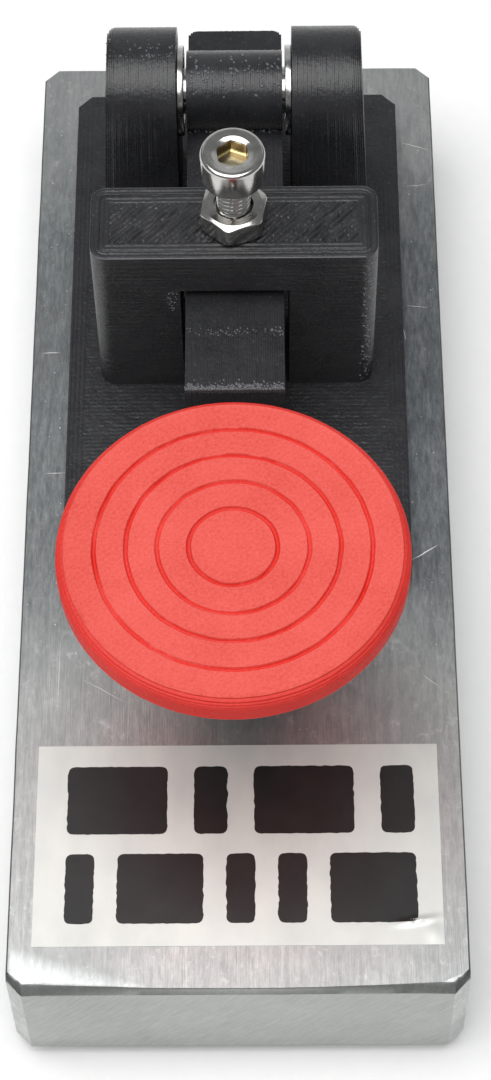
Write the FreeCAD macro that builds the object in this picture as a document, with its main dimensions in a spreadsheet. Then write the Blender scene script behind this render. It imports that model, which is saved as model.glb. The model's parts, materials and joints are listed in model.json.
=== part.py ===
import FreeCAD, Part
import Sketcher
import math
import os

# A small straight morse key: an aluminium bar carries a printed plate, two bearing
# posts, a bridge with the gap screw, and a rocking lever with a round finger knob.
# Millimetres. Origin: middle of the bar at the height the rubber feet rest on.
# +X right, +Y towards the rear socket, +Z up.

doc = FreeCAD.newDocument("morse_key")
sheet = doc.addObject("Spreadsheet::Sheet", "dims")

DIMENSIONS = [
    # weight bar and its feet
    ("bar_width", 38.1), ("bar_length", 98.0), ("bar_height", 12.7), ("bar_bevel", 0.6),
    ("bar_break", 0.15), ("bar_corner", 1.3), ("bar_base", 1.2), ("foot_radius", 4.5), ("foot_inset", 8.0),
    # printed plate on the bar
    ("plate_half", 15.4), ("plate_front", -11.6), ("plate_rear", 42.8), ("plate_base", 13.9),
    ("plate_top", 16.9), ("plate_corner", 1.3), ("plate_bevel", 0.3),
    # pivot, posts and bearings
    ("pivot_y", 30.2), ("pivot_z", 32.4), ("post_inner", 5.15), ("post_foot", 12.4),
    ("post_crown", 11.3), ("post_radius", 5.7), ("post_round", 0.9), ("shaft_radius", 1.5),
    ("shaft_half", 8.7), ("bearing_radius", 3.5), ("bearing_width", 2.5), ("flange_radius", 4.05),
    ("flange_width", 0.6), ("outer_race", 3.0), ("inner_race", 2.1), ("ball_radius", 0.6),
    ("ball_pitch", 2.55), ("spacer_radius", 2.1), ("shield_width", 0.12),
    # bridge over the lever
    ("bridge_front", 8.8), ("bridge_rear", 16.5), ("bridge_half", 12.4), ("bridge_top", 35.9),
    ("bridge_round", 1.4), ("window_half", 4.75), ("window_top", 31.1),
    # lever
    ("arm_half", 4.3), ("arm_top", 30.2), ("arm_base", 23.0), ("hub_radius", 3.6),
    ("tail_end", 39.2), ("tail_base", 25.0), ("step_y", -1.05), ("shelf_top", 27.0),
    ("shelf_front", -27.5), ("nose_round", 4.0), ("tail_round", 0.9),
    # finger knob
    ("knob_y", -22.3), ("knob_top", 40.0), ("knob_radius", 14.05), ("knob_disc", 3.2),
    ("knob_round", 1.1), ("stem_radius", 5.0), ("groove_half", 0.28), ("groove_depth", 0.4),
    # three millimetre screws, nuts and inserts
    ("thread_radius", 1.45), ("nut_bore", 1.5), ("hole_radius", 1.7), ("nut_flats", 5.5),
    ("nut_height", 2.4), ("insert_radius", 2.3), ("insert_height", 4.0), ("cap_radius", 2.75),
    ("cap_height", 3.0), ("cap_bevel", 0.3), ("socket_flats", 2.5), ("socket_depth", 1.6),
    ("gap_y", 12.8), ("gap_length", 12.0), ("gap_clear", 0.02), ("sink_radius", 3.0),
    ("sink_depth", 1.7), ("frame_screw", 20.0), ("leg_x", 8.95), ("leg_y", 12.65),
    ("post_x", 8.7), ("post_screw_y", 31.8), ("peg_y", 27.0), ("peg_radius", 1.3), ("peg_length", 1.6),
    # contacts and return spring
    ("contact_y", -6.0), ("contact_head", 2.8), ("contact_dome", 2.0), ("contact_gap", 0.65),
    ("contact_well", 5.0), ("well_depth", 5.9), ("spring_y", 3.0), ("spring_radius", 2.3),
    ("spring_wire", 0.25), ("spring_turns", 6.0), ("cup_radius", 2.9), ("cup_depth", 0.9),
    ("cup_sheet", 0.3), ("strip_half", 2.4), ("strip_sheet", 0.3),
    # rear socket and its wires
    ("jack_half", 3.2), ("jack_front", 30.9), ("jack_rear", 42.2), ("jack_height", 6.0),
    ("jack_bore", 1.8), ("bush_radius", 2.4), ("bush_length", 4.0), ("bush_out", 1.4),
    ("wire_x", 2.0), ("wire_radius", 0.5), ("wire_z", 14.5), ("wire_y", 29.0),
    # sticker
    ("label_half", 17.0), ("label_front", -45.0), ("label_rear", -26.6), ("label_sheet", 0.12),
]

for row, (alias, value) in enumerate(DIMENSIONS, start=1):
    sheet.set(f"A{row}", alias)
    sheet.set(f"B{row}", str(value))
    sheet.setAlias(f"B{row}", alias)
doc.recompute()

GROOVE_RADII = (3.5, 6.0, 8.46, 10.95)
SIDES = (-1, 1)
TURN = {
    "X": FreeCAD.Rotation(FreeCAD.Vector(0, 1, 0), 90),
    "Y": FreeCAD.Rotation(FreeCAD.Vector(1, 0, 0), -90),
    "Z": FreeCAD.Rotation(),
}


def number(expression):
    """Value in millimetres of an expression on the dimension sheet."""
    return float(sheet.evalExpression(str(expression)))


# ---------------------------------------------------------------- solid helpers

def bind(obj, **expressions):
    for name, expression in expressions.items():
        obj.setExpression(name, str(expression))
    return obj


def place(obj, x, y, z, axis="Z"):
    obj.Placement = FreeCAD.Placement(FreeCAD.Vector(0, 0, 0), TURN[axis])
    obj.setExpression("Placement.Base.x", str(x))
    obj.setExpression("Placement.Base.y", str(y))
    obj.setExpression("Placement.Base.z", str(z))
    return obj


def cylinder(name, radius, height, x, y, z, axis="Z"):
    obj = bind(doc.addObject("Part::Cylinder", name), Radius=radius, Height=height)
    return place(obj, x, y, z, axis)


def cone(name, low_radius, high_radius, height, x, y, z):
    obj = doc.addObject("Part::Cone", name)
    bind(obj, Radius1=low_radius, Radius2=high_radius, Height=height)
    return place(obj, x, y, z)


def block(name, x_span, y_span, z_span):
    obj = doc.addObject("Part::Box", name)
    bind(
        obj,
        Length=f"({x_span[1]}) - ({x_span[0]})",
        Width=f"({y_span[1]}) - ({y_span[0]})",
        Height=f"({z_span[1]}) - ({z_span[0]})",
    )
    return place(obj, x_span[0], y_span[0], z_span[0])


def hexagon(name, flats, height, x, y, z, turn=90):
    obj = doc.addObject("Part::Prism", name)
    obj.Polygon = 6
    bind(obj, Circumradius=f"({flats}) / sqrt(3)", Height=height)
    place(obj, x, y, z)
    obj.Placement.Rotation = FreeCAD.Rotation(FreeCAD.Vector(0, 0, 1), turn)
    return obj


def fuse(name, shapes):
    obj = doc.addObject("Part::MultiFuse", name)
    obj.Shapes = shapes
    return obj


def cut(name, base, tool):
    obj = doc.addObject("Part::Cut", name)
    obj.Base = base
    obj.Tool = tool
    return obj


def group(name, members):
    obj = doc.addObject("Part::Compound", name)
    obj.Links = members
    return obj


def tube(name, outer, inner, height, x, y, z, axis="Z"):
    shell = cylinder(name + "_shell", outer, height, x, y, z, axis)
    bore = cylinder(name + "_bore", inner, height, x, y, z, axis)
    return cut(name, shell, bore)


# ------------------------------------------------------------ part design helpers

def new_body(name):
    return doc.addObject("PartDesign::Body", name)


def sketch_on(body, name, role, offset):
    plane = next(item for item in body.Origin.OriginFeatures if item.Role == role)
    sketch = body.newObject("Sketcher::SketchObject", name)
    sketch.AttachmentSupport = [(plane, "")]
    sketch.MapMode = "FlatFace"
    sketch.setExpression(".AttachmentOffset.Base.z", str(offset))
    return sketch


def fix_point(sketch, geometry, position, x, y):
    for kind, expression in (("DistanceX", x), ("DistanceY", y)):
        constraint = Sketcher.Constraint(kind, geometry, position, number(expression))
        index = sketch.addConstraint(constraint)
        sketch.setExpression(f"Constraints[{index}]", str(expression))


def outline(body, name, role, offset, points):
    """Closed straight-sided sketch; every corner is tied to the dimension sheet."""
    sketch = sketch_on(body, name, role, offset)
    corners = [FreeCAD.Vector(number(x), number(y), 0) for x, y in points]
    count = len(corners)
    for index in range(count):
        sketch.addGeometry(Part.LineSegment(corners[index], corners[(index + 1) % count]), False)
    for index in range(count):
        following = (index + 1) % count
        sketch.addConstraint(Sketcher.Constraint("Coincident", index, 2, following, 1))
    for index, (x, y) in enumerate(points):
        fix_point(sketch, index, 1, x, y)
    return sketch


def circles(body, name, role, offset, discs):
    """Sketch of round outlines, each given as x, y and radius expressions."""
    sketch = sketch_on(body, name, role, offset)
    for index, (x, y, radius) in enumerate(discs):
        centre = FreeCAD.Vector(number(x), number(y), 0)
        sketch.addGeometry(Part.Circle(centre, FreeCAD.Vector(0, 0, 1), number(radius)), False)
        fix_point(sketch, index, 3, x, y)
        which = sketch.addConstraint(Sketcher.Constraint("Radius", index, number(radius)))
        sketch.setExpression(f"Constraints[{which}]", str(radius))
    return sketch


def pad(body, name, sketch, length):
    feature = body.newObject("PartDesign::Pad", name)
    feature.Profile = sketch
    feature.setExpression("Length", str(length))
    doc.recompute()
    return feature


def pocket(body, name, sketch, depth, forward=False):
    """Cut against the sketch's normal, or along it when forward is set."""
    before = body.Shape.Volume
    feature = body.newObject("PartDesign::Pocket", name)
    feature.Profile = sketch
    feature.Reversed = forward
    feature.setExpression("Length", str(depth))
    doc.recompute()
    if body.Shape.Volume > before - 0.01:
        raise ValueError(name + " removed nothing")
    return feature


def edge_names(feature, wanted):
    return [f"Edge{i}" for i, edge in enumerate(feature.Shape.Edges, start=1) if wanted(edge)]


def soften(body, name, kind, base, wanted, size):
    """Fillet or chamfer every edge of base for which wanted is true."""
    names = edge_names(base, wanted)
    if not names:
        raise ValueError(name + " found no edges")
    feature = body.newObject("PartDesign::" + kind, name)
    feature.Base = (base, names)
    feature.setExpression("Radius" if kind == "Fillet" else "Size", str(size))
    doc.recompute()
    return feature


def is_vertical(edge):
    low, high = edge.BoundBox.ZMin, edge.BoundBox.ZMax
    return edge.BoundBox.XLength < 0.01 and edge.BoundBox.YLength < 0.01 and high - low > 0.5


def near(one, other, slack=0.01):
    return abs(one - other) < slack


# ----------------------------------------------------------------- weight bar

def frame_screw_spots():
    """Places of the screws that come up through the bar into posts and bridge."""
    legs = [(f"{side} * dims.leg_x", "dims.leg_y") for side in SIDES]
    posts = [(f"{side} * dims.post_x", "dims.post_screw_y") for side in SIDES]
    return legs + posts


def build_bar():
    body = new_body("base_bar")
    half_width, half_length = "dims.bar_width / 2", "dims.bar_length / 2"
    sketch = outline(body, "bar_outline", "XY_Plane", "dims.bar_base", [
        (f"-{half_width}", f"-{half_length}"), (half_width, f"-{half_length}"),
        (half_width, half_length), (f"-{half_width}", half_length),
    ])
    solid = pad(body, "bar_solid", sketch, "dims.bar_height")
    corners = soften(body, "bar_corners", "Chamfer", solid, is_vertical, "dims.bar_corner")
    levels = (number("dims.bar_base"), number("dims.bar_base + dims.bar_height"))

    def on_top_or_bottom(edge):
        return edge.BoundBox.ZLength < 0.01 and any(near(edge.BoundBox.ZMin, z) for z in levels)

    def on_end(edge):
        return on_top_or_bottom(edge) and edge.BoundBox.YLength < 5

    def on_long_side(edge):
        return on_top_or_bottom(edge) and edge.BoundBox.YLength > 5

    ends = soften(body, "bar_end_bevels", "Chamfer", corners, on_end, "dims.bar_bevel")
    soften(body, "bar_broken_edges", "Chamfer", ends, on_long_side, "dims.bar_break")
    spots = frame_screw_spots()
    holes = circles(body, "bar_hole_plan", "XY_Plane", "dims.bar_base",
                    [(x, y, "dims.hole_radius") for x, y in spots])
    pocket(body, "bar_holes", holes, "dims.bar_height + 1", forward=True)
    top = "dims.bar_base + dims.bar_height"
    well = circles(body, "well_plan", "XY_Plane", top, [("0", "dims.contact_y", "dims.contact_well")])
    pocket(body, "contact_well_cut", well, "dims.well_depth")
    tools = [
        cone(f"bar_sink_{i}", "dims.sink_radius + 0.15", "dims.hole_radius", "dims.sink_depth + 0.1",
             x, y, "dims.bar_base")
        for i, (x, y) in enumerate(spots)
    ]
    drilled = cut("base_bar_drilled", body, fuse("bar_sinks", tools))
    return drilled


def build_feet():
    reach_x = "(dims.bar_width / 2 - dims.foot_inset)"
    reach_y = "(dims.bar_length / 2 - dims.foot_inset)"
    feet = []
    for side in SIDES:
        for end in SIDES:
            feet.append(cylinder(f"foot_{side}_{end}", "dims.foot_radius", "dims.bar_base",
                                 f"{side} * {reach_x}", f"{end} * {reach_y}", "0"))
    return group("rubber_feet_set", feet)


# ---------------------------------------------------------------- printed plate

def build_plate():
    body = new_body("base_plate")
    sketch = outline(body, "plate_outline", "XY_Plane", "dims.plate_base", [
        ("-dims.plate_half", "dims.plate_front"), ("dims.plate_half", "dims.plate_front"),
        ("dims.plate_half", "dims.plate_rear"), ("-dims.plate_half", "dims.plate_rear"),
    ])
    thickness = "dims.plate_top - dims.plate_base"
    solid = pad(body, "plate_solid", sketch, thickness)
    corners = soften(body, "plate_corners", "Chamfer", solid, is_vertical, "dims.plate_corner")
    top = number("dims.plate_top")

    def on_top(edge):
        return edge.BoundBox.ZLength < 0.01 and near(edge.BoundBox.ZMin, top)

    soften(body, "plate_edge", "Chamfer", corners, on_top, "dims.plate_bevel")
    screws = [(x, y, "dims.hole_radius") for x, y in frame_screw_spots()]
    screws.append(("0", "dims.contact_y", "dims.hole_radius"))
    screws += [(f"{side} * dims.wire_x", "dims.wire_y", "dims.wire_radius + 0.15") for side in SIDES]
    screws += [(f"{side} * dims.post_x", "dims.peg_y", "dims.peg_radius + 0.05") for side in SIDES]
    holes = circles(body, "plate_hole_plan", "XY_Plane", "dims.plate_top", screws)
    pocket(body, "plate_holes", holes, thickness + " + 1")
    cup = circles(body, "cup_plan", "XY_Plane", "dims.plate_top",
                  [("0", "dims.spring_y", "dims.cup_radius")])
    pocket(body, "cup_cut", cup, "dims.cup_depth")
    drop = circles(body, "drop_plan", "XY_Plane", "dims.plate_top",
                   [("-dims.wire_x", "dims.spring_y", "dims.wire_radius + 0.15")])
    pocket(body, "drop_cut", drop, thickness + " + 1")
    starts = {-1: "dims.spring_y - 0.65", 1: "dims.contact_y + 3.2"}
    for side, start in starts.items():
        middle = f"{side} * dims.wire_x"
        left = f"{middle} - dims.wire_radius - 0.1"
        right = f"{middle} + dims.wire_radius + 0.1"
        end = "dims.wire_y + 0.65"
        name = "left" if side < 0 else "right"
        groove = outline(body, name + "_groove_plan", "XY_Plane", "dims.plate_base",
                         [(left, start), (right, start), (right, end), (left, end)])
        pocket(body, name + "_groove", groove, "2 * dims.wire_radius + 0.2", forward=True)
    return body


# --------------------------------------------------------------- bearing posts

def build_post(side):
    word = "left" if side < 0 else "right"
    body = new_body(word + "_bearing_post")
    start = "dims.post_inner" if side > 0 else "-dims.post_foot"
    width = "dims.post_foot - dims.post_inner"
    low, high = "dims.plate_top", "dims.pivot_z"
    front, rear = "dims.pivot_y - dims.post_radius", "dims.pivot_y + dims.post_radius"
    flank = outline(body, word + "_flank", "YZ_Plane", start,
                    [(front, low), (rear, low), (rear, high), (front, high)])
    pad(body, word + "_leg", flank, width)
    crown = circles(body, word + "_crown_plan", "YZ_Plane", start,
                    [("dims.pivot_y", "dims.pivot_z", "dims.post_radius")])
    pad(body, word + "_crown", crown, width)
    top = "dims.pivot_z + dims.post_radius + 0.5"
    lean = outline(body, word + "_lean_plan", "XZ_Plane", "-(dims.pivot_y + dims.post_radius + 1)", [
        (f"{side} * dims.post_foot", low), (f"{side} * (dims.post_foot + 1)", low),
        (f"{side} * (dims.post_foot + 1)", top), (f"{side} * dims.post_crown", top),
    ])
    sloped = pocket(body, word + "_lean", lean, "2 * dims.post_radius + 2", forward=True)
    foot, crest = number("dims.post_foot"), number("dims.post_crown")
    floor, roof = number(low), number(top)

    def on_outer_face(edge):
        for vertex in edge.Vertexes:
            share = (vertex.Z - floor) / (roof - floor)
            if not near(abs(vertex.X), foot + (crest - foot) * share):
                return False
        return edge.BoundBox.ZMax > floor + 0.1

    soften(body, word + "_round", "Fillet", sloped, on_outer_face, "dims.post_round")
    face = f"{side} * dims.post_inner"
    seat = circles(body, word + "_seat_plan", "YZ_Plane", face,
                   [("dims.pivot_y", "dims.pivot_z", "dims.bearing_radius")])
    pocket(body, word + "_seat", seat, "dims.bearing_width - dims.flange_width", forward=side > 0)
    relief = circles(body, word + "_relief_plan", "YZ_Plane", face,
                     [("dims.pivot_y", "dims.pivot_z", "dims.spacer_radius + 0.2")])
    pocket(body, word + "_relief", relief, "dims.shaft_half - dims.post_inner + 0.4", forward=side > 0)
    seat_plan = circles(body, word + "_insert_plan", "XY_Plane", low,
                        [(f"{side} * dims.post_x", "dims.post_screw_y", "dims.insert_radius")])
    pocket(body, word + "_insert_hole", seat_plan, "dims.insert_height + 0.8", forward=True)
    peg = circles(body, word + "_peg_plan", "XY_Plane", "dims.plate_top - dims.peg_length",
                  [(f"{side} * dims.post_x", "dims.peg_y", "dims.peg_radius")])
    pad(body, word + "_peg", peg, "dims.peg_length")
    return body


# ---------------------------------------------------------------------- bridge

def build_bridge():
    body = new_body("bridge")
    low, high = "dims.plate_top", "dims.bridge_top"
    side, gap, roof = "dims.bridge_half", "dims.window_half", "dims.window_top"
    arch = outline(body, "arch", "XZ_Plane", "-dims.bridge_rear", [
        (f"-{side}", low), (f"-{side}", high), (side, high), (side, low),
        (gap, low), (gap, roof), (f"-{gap}", roof), (f"-{gap}", low),
    ])
    solid = pad(body, "arch_solid", arch, "dims.bridge_rear - dims.bridge_front")
    reach = number(side)

    def outer_corner(edge):
        return is_vertical(edge) and near(abs(edge.Vertexes[0].X), reach)

    soften(body, "bridge_corners", "Fillet", solid, outer_corner, "dims.bridge_round")
    bore = circles(body, "gap_bore_plan", "XY_Plane", high, [("0", "dims.gap_y", "dims.insert_radius")])
    pocket(body, "gap_bore", bore, "dims.bridge_top - dims.window_top + 1")
    seats = circles(body, "leg_insert_plan", "XY_Plane", low,
                    [(f"{way} * dims.leg_x", "dims.leg_y", "dims.insert_radius") for way in SIDES])
    pocket(body, "leg_insert_holes", seats, "dims.insert_height + 0.8", forward=True)
    return body


# ----------------------------------------------------------------------- lever

def build_lever():
    body = new_body("lever")
    start, width = "-dims.arm_half", "2 * dims.arm_half"
    arm = outline(body, "arm_profile", "YZ_Plane", start, [
        ("dims.shelf_front", "dims.arm_base"), ("dims.pivot_y - 6", "dims.arm_base"),
        ("dims.pivot_y - 3.5", "dims.tail_base"), ("dims.tail_end", "dims.tail_base"),
        ("dims.tail_end", "dims.arm_top"), ("dims.step_y", "dims.arm_top"),
        ("dims.step_y", "dims.shelf_top"), ("dims.shelf_front", "dims.shelf_top"),
    ])
    beam = pad(body, "arm_beam", arm, width)
    nose = number("dims.shelf_front")

    def nose_corner(edge):
        return is_vertical(edge) and near(edge.Vertexes[0].Y, nose)

    rounded = soften(body, "nose", "Fillet", beam, nose_corner, "dims.nose_round")
    end = number("dims.tail_end")

    def tail_corner(edge):
        return is_vertical(edge) and near(edge.Vertexes[0].Y, end)

    soften(body, "tail_corners", "Fillet", rounded, tail_corner, "dims.tail_round")
    hub = circles(body, "hub_plan", "YZ_Plane", start,
                  [("dims.pivot_y", "dims.pivot_z", "dims.hub_radius")])
    pad(body, "hub", hub, width)
    bore = circles(body, "shaft_bore_plan", "YZ_Plane", "dims.arm_half",
                   [("dims.pivot_y", "dims.pivot_z", "dims.shaft_radius")])
    pocket(body, "shaft_bore", bore, width)
    grub = circles(body, "grub_plan", "XY_Plane", "dims.tail_base",
                   [("0", "dims.pivot_y", "dims.nut_bore")])
    pocket(body, "grub_bore", grub, "dims.pivot_z - dims.tail_base", forward=True)
    holes = circles(body, "shelf_hole_plan", "XY_Plane", "dims.shelf_top", [
        ("0", "dims.knob_y", "dims.hole_radius"),
        ("0", "dims.contact_y", "dims.insert_radius"),
    ])
    pocket(body, "shelf_holes", holes, "dims.shelf_top - dims.arm_base + 1")
    sink = cone("lever_sink", "dims.sink_radius + 0.15", "dims.hole_radius", "dims.sink_depth + 0.1",
                "0", "dims.knob_y", "dims.arm_base")
    return cut("lever_sunk", body, sink)


# ------------------------------------------------------------------------ knob

def build_knob():
    body = new_body("finger_knob")
    low, disc, high = "dims.shelf_top", "dims.knob_top - dims.knob_disc", "dims.knob_top"
    floor = "dims.knob_top - dims.groove_depth"
    points = [("0", low), ("dims.stem_radius", low), ("dims.stem_radius", disc),
              ("dims.knob_radius", disc), ("dims.knob_radius", high)]
    for radius in reversed(GROOVE_RADII):
        points.append((f"{radius} + dims.groove_half", high))
        points.append((str(radius), floor))
        points.append((f"{radius} - dims.groove_half", high))
    points.append(("0", high))
    profile = outline(body, "knob_profile", "XZ_Plane", "-dims.knob_y", points)
    turned = body.newObject("PartDesign::Revolution", "knob_turned")
    turned.Profile = profile
    turned.ReferenceAxis = (profile, ["V_Axis"])
    turned.Angle = 360
    doc.recompute()
    rim = number("dims.knob_radius")

    def rim_edge(edge):
        round_edge = isinstance(edge.Curve, Part.Circle)
        return round_edge and near(edge.Curve.Radius, rim) and edge.BoundBox.ZLength < 0.01

    soften(body, "knob_rim", "Fillet", turned, rim_edge, "dims.knob_round")
    seat = circles(body, "knob_insert_plan", "XY_Plane", low,
                   [("0", "dims.knob_y", "dims.insert_radius")])
    pocket(body, "knob_insert_hole", seat, "dims.insert_height + 3", forward=True)
    return body


# ------------------------------------------------------------------- fasteners

def sunk_screw(name, length, x, y, z):
    """Countersunk socket screw standing head down, its head face at height z."""
    head = cone(name + "_head", "dims.sink_radius", "dims.thread_radius", "dims.sink_depth", x, y, z)
    shank = cylinder(name + "_shank", "dims.thread_radius", length, x, y, z)
    socket = hexagon(name + "_socket", "2", "1.1", x, y, z)
    return cut(name, fuse(name + "_blank", [head, shank]), socket)


def build_frame_screws():
    screws = [sunk_screw(f"frame_screw_{i}", "dims.frame_screw", x, y, "dims.bar_base + 0.1")
              for i, (x, y) in enumerate(frame_screw_spots())]
    return group("frame_screw_set", screws)


def build_frame_inserts():
    inserts = [tube(f"frame_insert_{i}", "dims.insert_radius", "dims.nut_bore", "dims.insert_height",
                    x, y, "dims.plate_top")
               for i, (x, y) in enumerate(frame_screw_spots())]
    return group("frame_insert_set", inserts)


def build_gap_screw():
    base = "dims.arm_top + dims.gap_clear"
    under = f"{base} + dims.gap_length"
    shank = cylinder("gap_shank", "dims.thread_radius", "dims.gap_length", "0", "dims.gap_y", base)
    head = cylinder("gap_head", "dims.cap_radius", "dims.cap_height - dims.cap_bevel",
                    "0", "dims.gap_y", under)
    bevel = cone("gap_bevel", "dims.cap_radius", "dims.cap_radius - dims.cap_bevel", "dims.cap_bevel",
                 "0", "dims.gap_y", f"{under} + dims.cap_height - dims.cap_bevel")
    mouth = f"{under} + dims.cap_height - dims.socket_depth"
    socket = hexagon("gap_socket", "dims.socket_flats", "dims.socket_depth", "0", "dims.gap_y", mouth)
    return cut("gap_screw_solid", fuse("gap_blank", [shank, head, bevel]), socket)


def build_nut(name, x, y, z, turn=90):
    prism = hexagon(name + "_prism", "dims.nut_flats", "dims.nut_height", x, y, z, turn)
    edge = "dims.nut_flats / sqrt(3) - 0.1"
    short = "dims.nut_flats / sqrt(3) - 0.45"
    low_bevel = cone(name + "_low_bevel", short, edge, "0.35", x, y, z)
    high_bevel = cone(name + "_high_bevel", edge, short, "0.35", x, y, f"{z} + dims.nut_height - 0.35")
    drum = cylinder(name + "_drum", edge, "dims.nut_height - 0.7", x, y, f"{z} + 0.35")
    spindle = fuse(name + "_spindle", [low_bevel, drum, high_bevel])
    trimmed = doc.addObject("Part::Common", name + "_trimmed")
    trimmed.Base = prism
    trimmed.Tool = spindle
    bore = cylinder(name + "_bore", "dims.nut_bore", "dims.nut_height", x, y, z)
    return cut(name, trimmed, bore)


# -------------------------------------------------------------- pivot bearings

def ring_profile_tube(name, outer, inner, start, side):
    """Bearing ring along X whose width runs outwards from the flange face."""
    x = start if side > 0 else f"-({start}) - dims.bearing_width"
    return tube(name, outer, inner, "dims.bearing_width", x, "dims.pivot_y", "dims.pivot_z", "X")


def build_bearings():
    """Flanged ball bearings, one in each post: rings, balls and shields as four nodes."""
    outers, inners, balls, shields = [], [], [], []
    face = "dims.post_inner - dims.flange_width"
    middle = f"{face} + dims.bearing_width / 2"
    for side in SIDES:
        word = "left" if side < 0 else "right"
        track = doc.addObject("Part::Torus", word + "_outer_track")
        bind(track, Radius1="dims.ball_pitch", Radius2="dims.ball_radius + 0.02")
        place(track, f"{side} * ({middle})", "dims.pivot_y", "dims.pivot_z", "X")
        body = ring_profile_tube(word + "_outer_body", "dims.bearing_radius", "dims.outer_race", face, side)
        flange_x = face if side > 0 else "-dims.post_inner"
        flange = tube(word + "_flange", "dims.flange_radius", "dims.outer_race", "dims.flange_width",
                      flange_x, "dims.pivot_y", "dims.pivot_z", "X")
        outers.append(cut(word + "_outer_ring", fuse(word + "_outer_blank", [body, flange]), track))
        core = ring_profile_tube(word + "_inner_body", "dims.inner_race", "dims.shaft_radius", face, side)
        second = doc.addObject("Part::Torus", word + "_inner_track")
        bind(second, Radius1="dims.ball_pitch", Radius2="dims.ball_radius + 0.02")
        place(second, f"{side} * ({middle})", "dims.pivot_y", "dims.pivot_z", "X")
        inners.append(cut(word + "_inner_ring", core, second))
        for index in range(8):
            turn = f"({index} * 45 deg)"
            ball = doc.addObject("Part::Sphere", f"{word}_ball_{index}")
            bind(ball, Radius="dims.ball_radius")
            balls.append(place(
                ball, f"{side} * ({middle})",
                f"dims.pivot_y + dims.ball_pitch * cos{turn}",
                f"dims.pivot_z + dims.ball_pitch * sin{turn}",
            ))
        for share, position in (("near", "0.1"), ("far", "dims.bearing_width - dims.shield_width - 0.1")):
            x = f"{face} + {position}" if side > 0 else f"-({face}) - ({position}) - dims.shield_width"
            shields.append(tube(f"{word}_{share}_shield", "dims.outer_race", "dims.inner_race + 0.06",
                                "dims.shield_width", x, "dims.pivot_y", "dims.pivot_z", "X"))
    return (group("outer_ring_set", outers), group("inner_ring_set", inners),
            group("ball_set", balls), group("shield_set", shields))


def build_shaft():
    return cylinder("shaft_solid", "dims.shaft_radius", "2 * dims.shaft_half", "-dims.shaft_half",
                    "dims.pivot_y", "dims.pivot_z", "X")


def build_spacers():
    width = "dims.post_inner - dims.flange_width - dims.arm_half"
    spacers = []
    for side in SIDES:
        x = "dims.arm_half" if side > 0 else f"-dims.arm_half - ({width})"
        spacers.append(tube(f"spacer_{side}", "dims.inner_race", "dims.shaft_radius", width,
                            x, "dims.pivot_y", "dims.pivot_z", "X"))
    return group("spacer_set", spacers)


def build_grub_screw():
    length = "5"
    low = f"dims.pivot_z - dims.shaft_radius - {length}"
    shank = cylinder("grub_shank", "dims.thread_radius", length, "0", "dims.pivot_y", low)
    socket = hexagon("grub_socket", "1.5", "1.4", "0", "dims.pivot_y", low)
    return cut("grub_solid", shank, socket)


# ------------------------------------------------------ contacts, spring, strip

def build_fixed_contact():
    top = "dims.plate_top"
    head = cylinder("fixed_head", "dims.contact_head", "dims.contact_dome - 0.5", "0", "dims.contact_y", top)
    dome = cone("fixed_dome", "dims.contact_head", "dims.contact_head - 0.9", "0.5",
                "0", "dims.contact_y", f"{top} + dims.contact_dome - 0.5")
    shank = cylinder("fixed_shank", "dims.thread_radius", "8", "0", "dims.contact_y", f"{top} - 8")
    return fuse("fixed_contact_solid", [head, dome, shank])


def build_contact_tag():
    low = "dims.plate_base - 0.4"
    ring = cylinder("tag_ring", "dims.contact_head", "0.4", "0", "dims.contact_y", low)
    tab = block("tag_tab", ("dims.wire_x - 0.8", "dims.wire_x + 0.8"),
                ("dims.contact_y", "dims.contact_y + 3.3"), (low, "dims.plate_base"))
    hole = cylinder("tag_hole", "dims.nut_bore", "0.4", "0", "dims.contact_y", low)
    return cut("tag_solid", fuse("tag_blank", [ring, tab]), hole)


def build_moving_contact():
    low = "dims.plate_top + dims.contact_dome + dims.contact_gap"
    tip = cone("moving_tip", "dims.thread_radius - 0.6", "dims.thread_radius", "0.6",
               "0", "dims.contact_y", low)
    stud = cylinder("moving_stud", "dims.thread_radius", "10", "0", "dims.contact_y", f"{low} + 0.6")
    slot = block("moving_slot", ("-dims.thread_radius", "dims.thread_radius"),
                 ("dims.contact_y - 0.3", "dims.contact_y + 0.3"), (f"{low} + 9.8", f"{low} + 10.6"))
    return cut("moving_contact_solid", fuse("moving_blank", [tip, stud]), slot)


def build_strip():
    top = "dims.arm_base"
    strip = block("strip_blank", ("-dims.strip_half", "dims.strip_half"),
                  ("dims.contact_y - 3", "dims.spring_y + 3"), (f"{top} - dims.strip_sheet", top))
    hole = cylinder("strip_hole", "dims.nut_bore", "dims.strip_sheet", "0", "dims.contact_y",
                    f"{top} - dims.strip_sheet")
    return cut("strip_solid", strip, hole)


def build_spring_cup():
    low = "dims.plate_top - dims.cup_depth"
    disc = cylinder("cup_disc", "dims.cup_radius - 0.1", "dims.cup_sheet", "0", "dims.spring_y", low)
    pip = cylinder("cup_pip", "dims.spring_radius - dims.spring_wire - 0.3", "1.2",
                   "0", "dims.spring_y", f"{low} + dims.cup_sheet")
    return fuse("cup_solid", [disc, pip])


def build_spring():
    """Helical wire from the cup up to the strip; a pipe sweep, so it is set in code."""
    low = number("dims.plate_top - dims.cup_depth + dims.cup_sheet")
    high = number("dims.arm_base - dims.strip_sheet")
    wire, radius = number("dims.spring_wire"), number("dims.spring_radius")
    rise = high - low - 2 * wire - 0.04
    path = Part.makeHelix(rise / number("dims.spring_turns"), rise, radius)
    path.translate(FreeCAD.Vector(0, number("dims.spring_y"), low + wire + 0.02))
    start = FreeCAD.Vector(radius, number("dims.spring_y"), low + wire + 0.02)
    ring = Part.Wire([Part.Edge(Part.Circle(start, FreeCAD.Vector(0, 1, 0), wire))])
    solid = Part.Wire(path.Edges).makePipeShell([ring], True, True)
    spring = doc.addObject("Part::Feature", "spring_solid")
    spring.Shape = solid
    return spring


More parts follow.
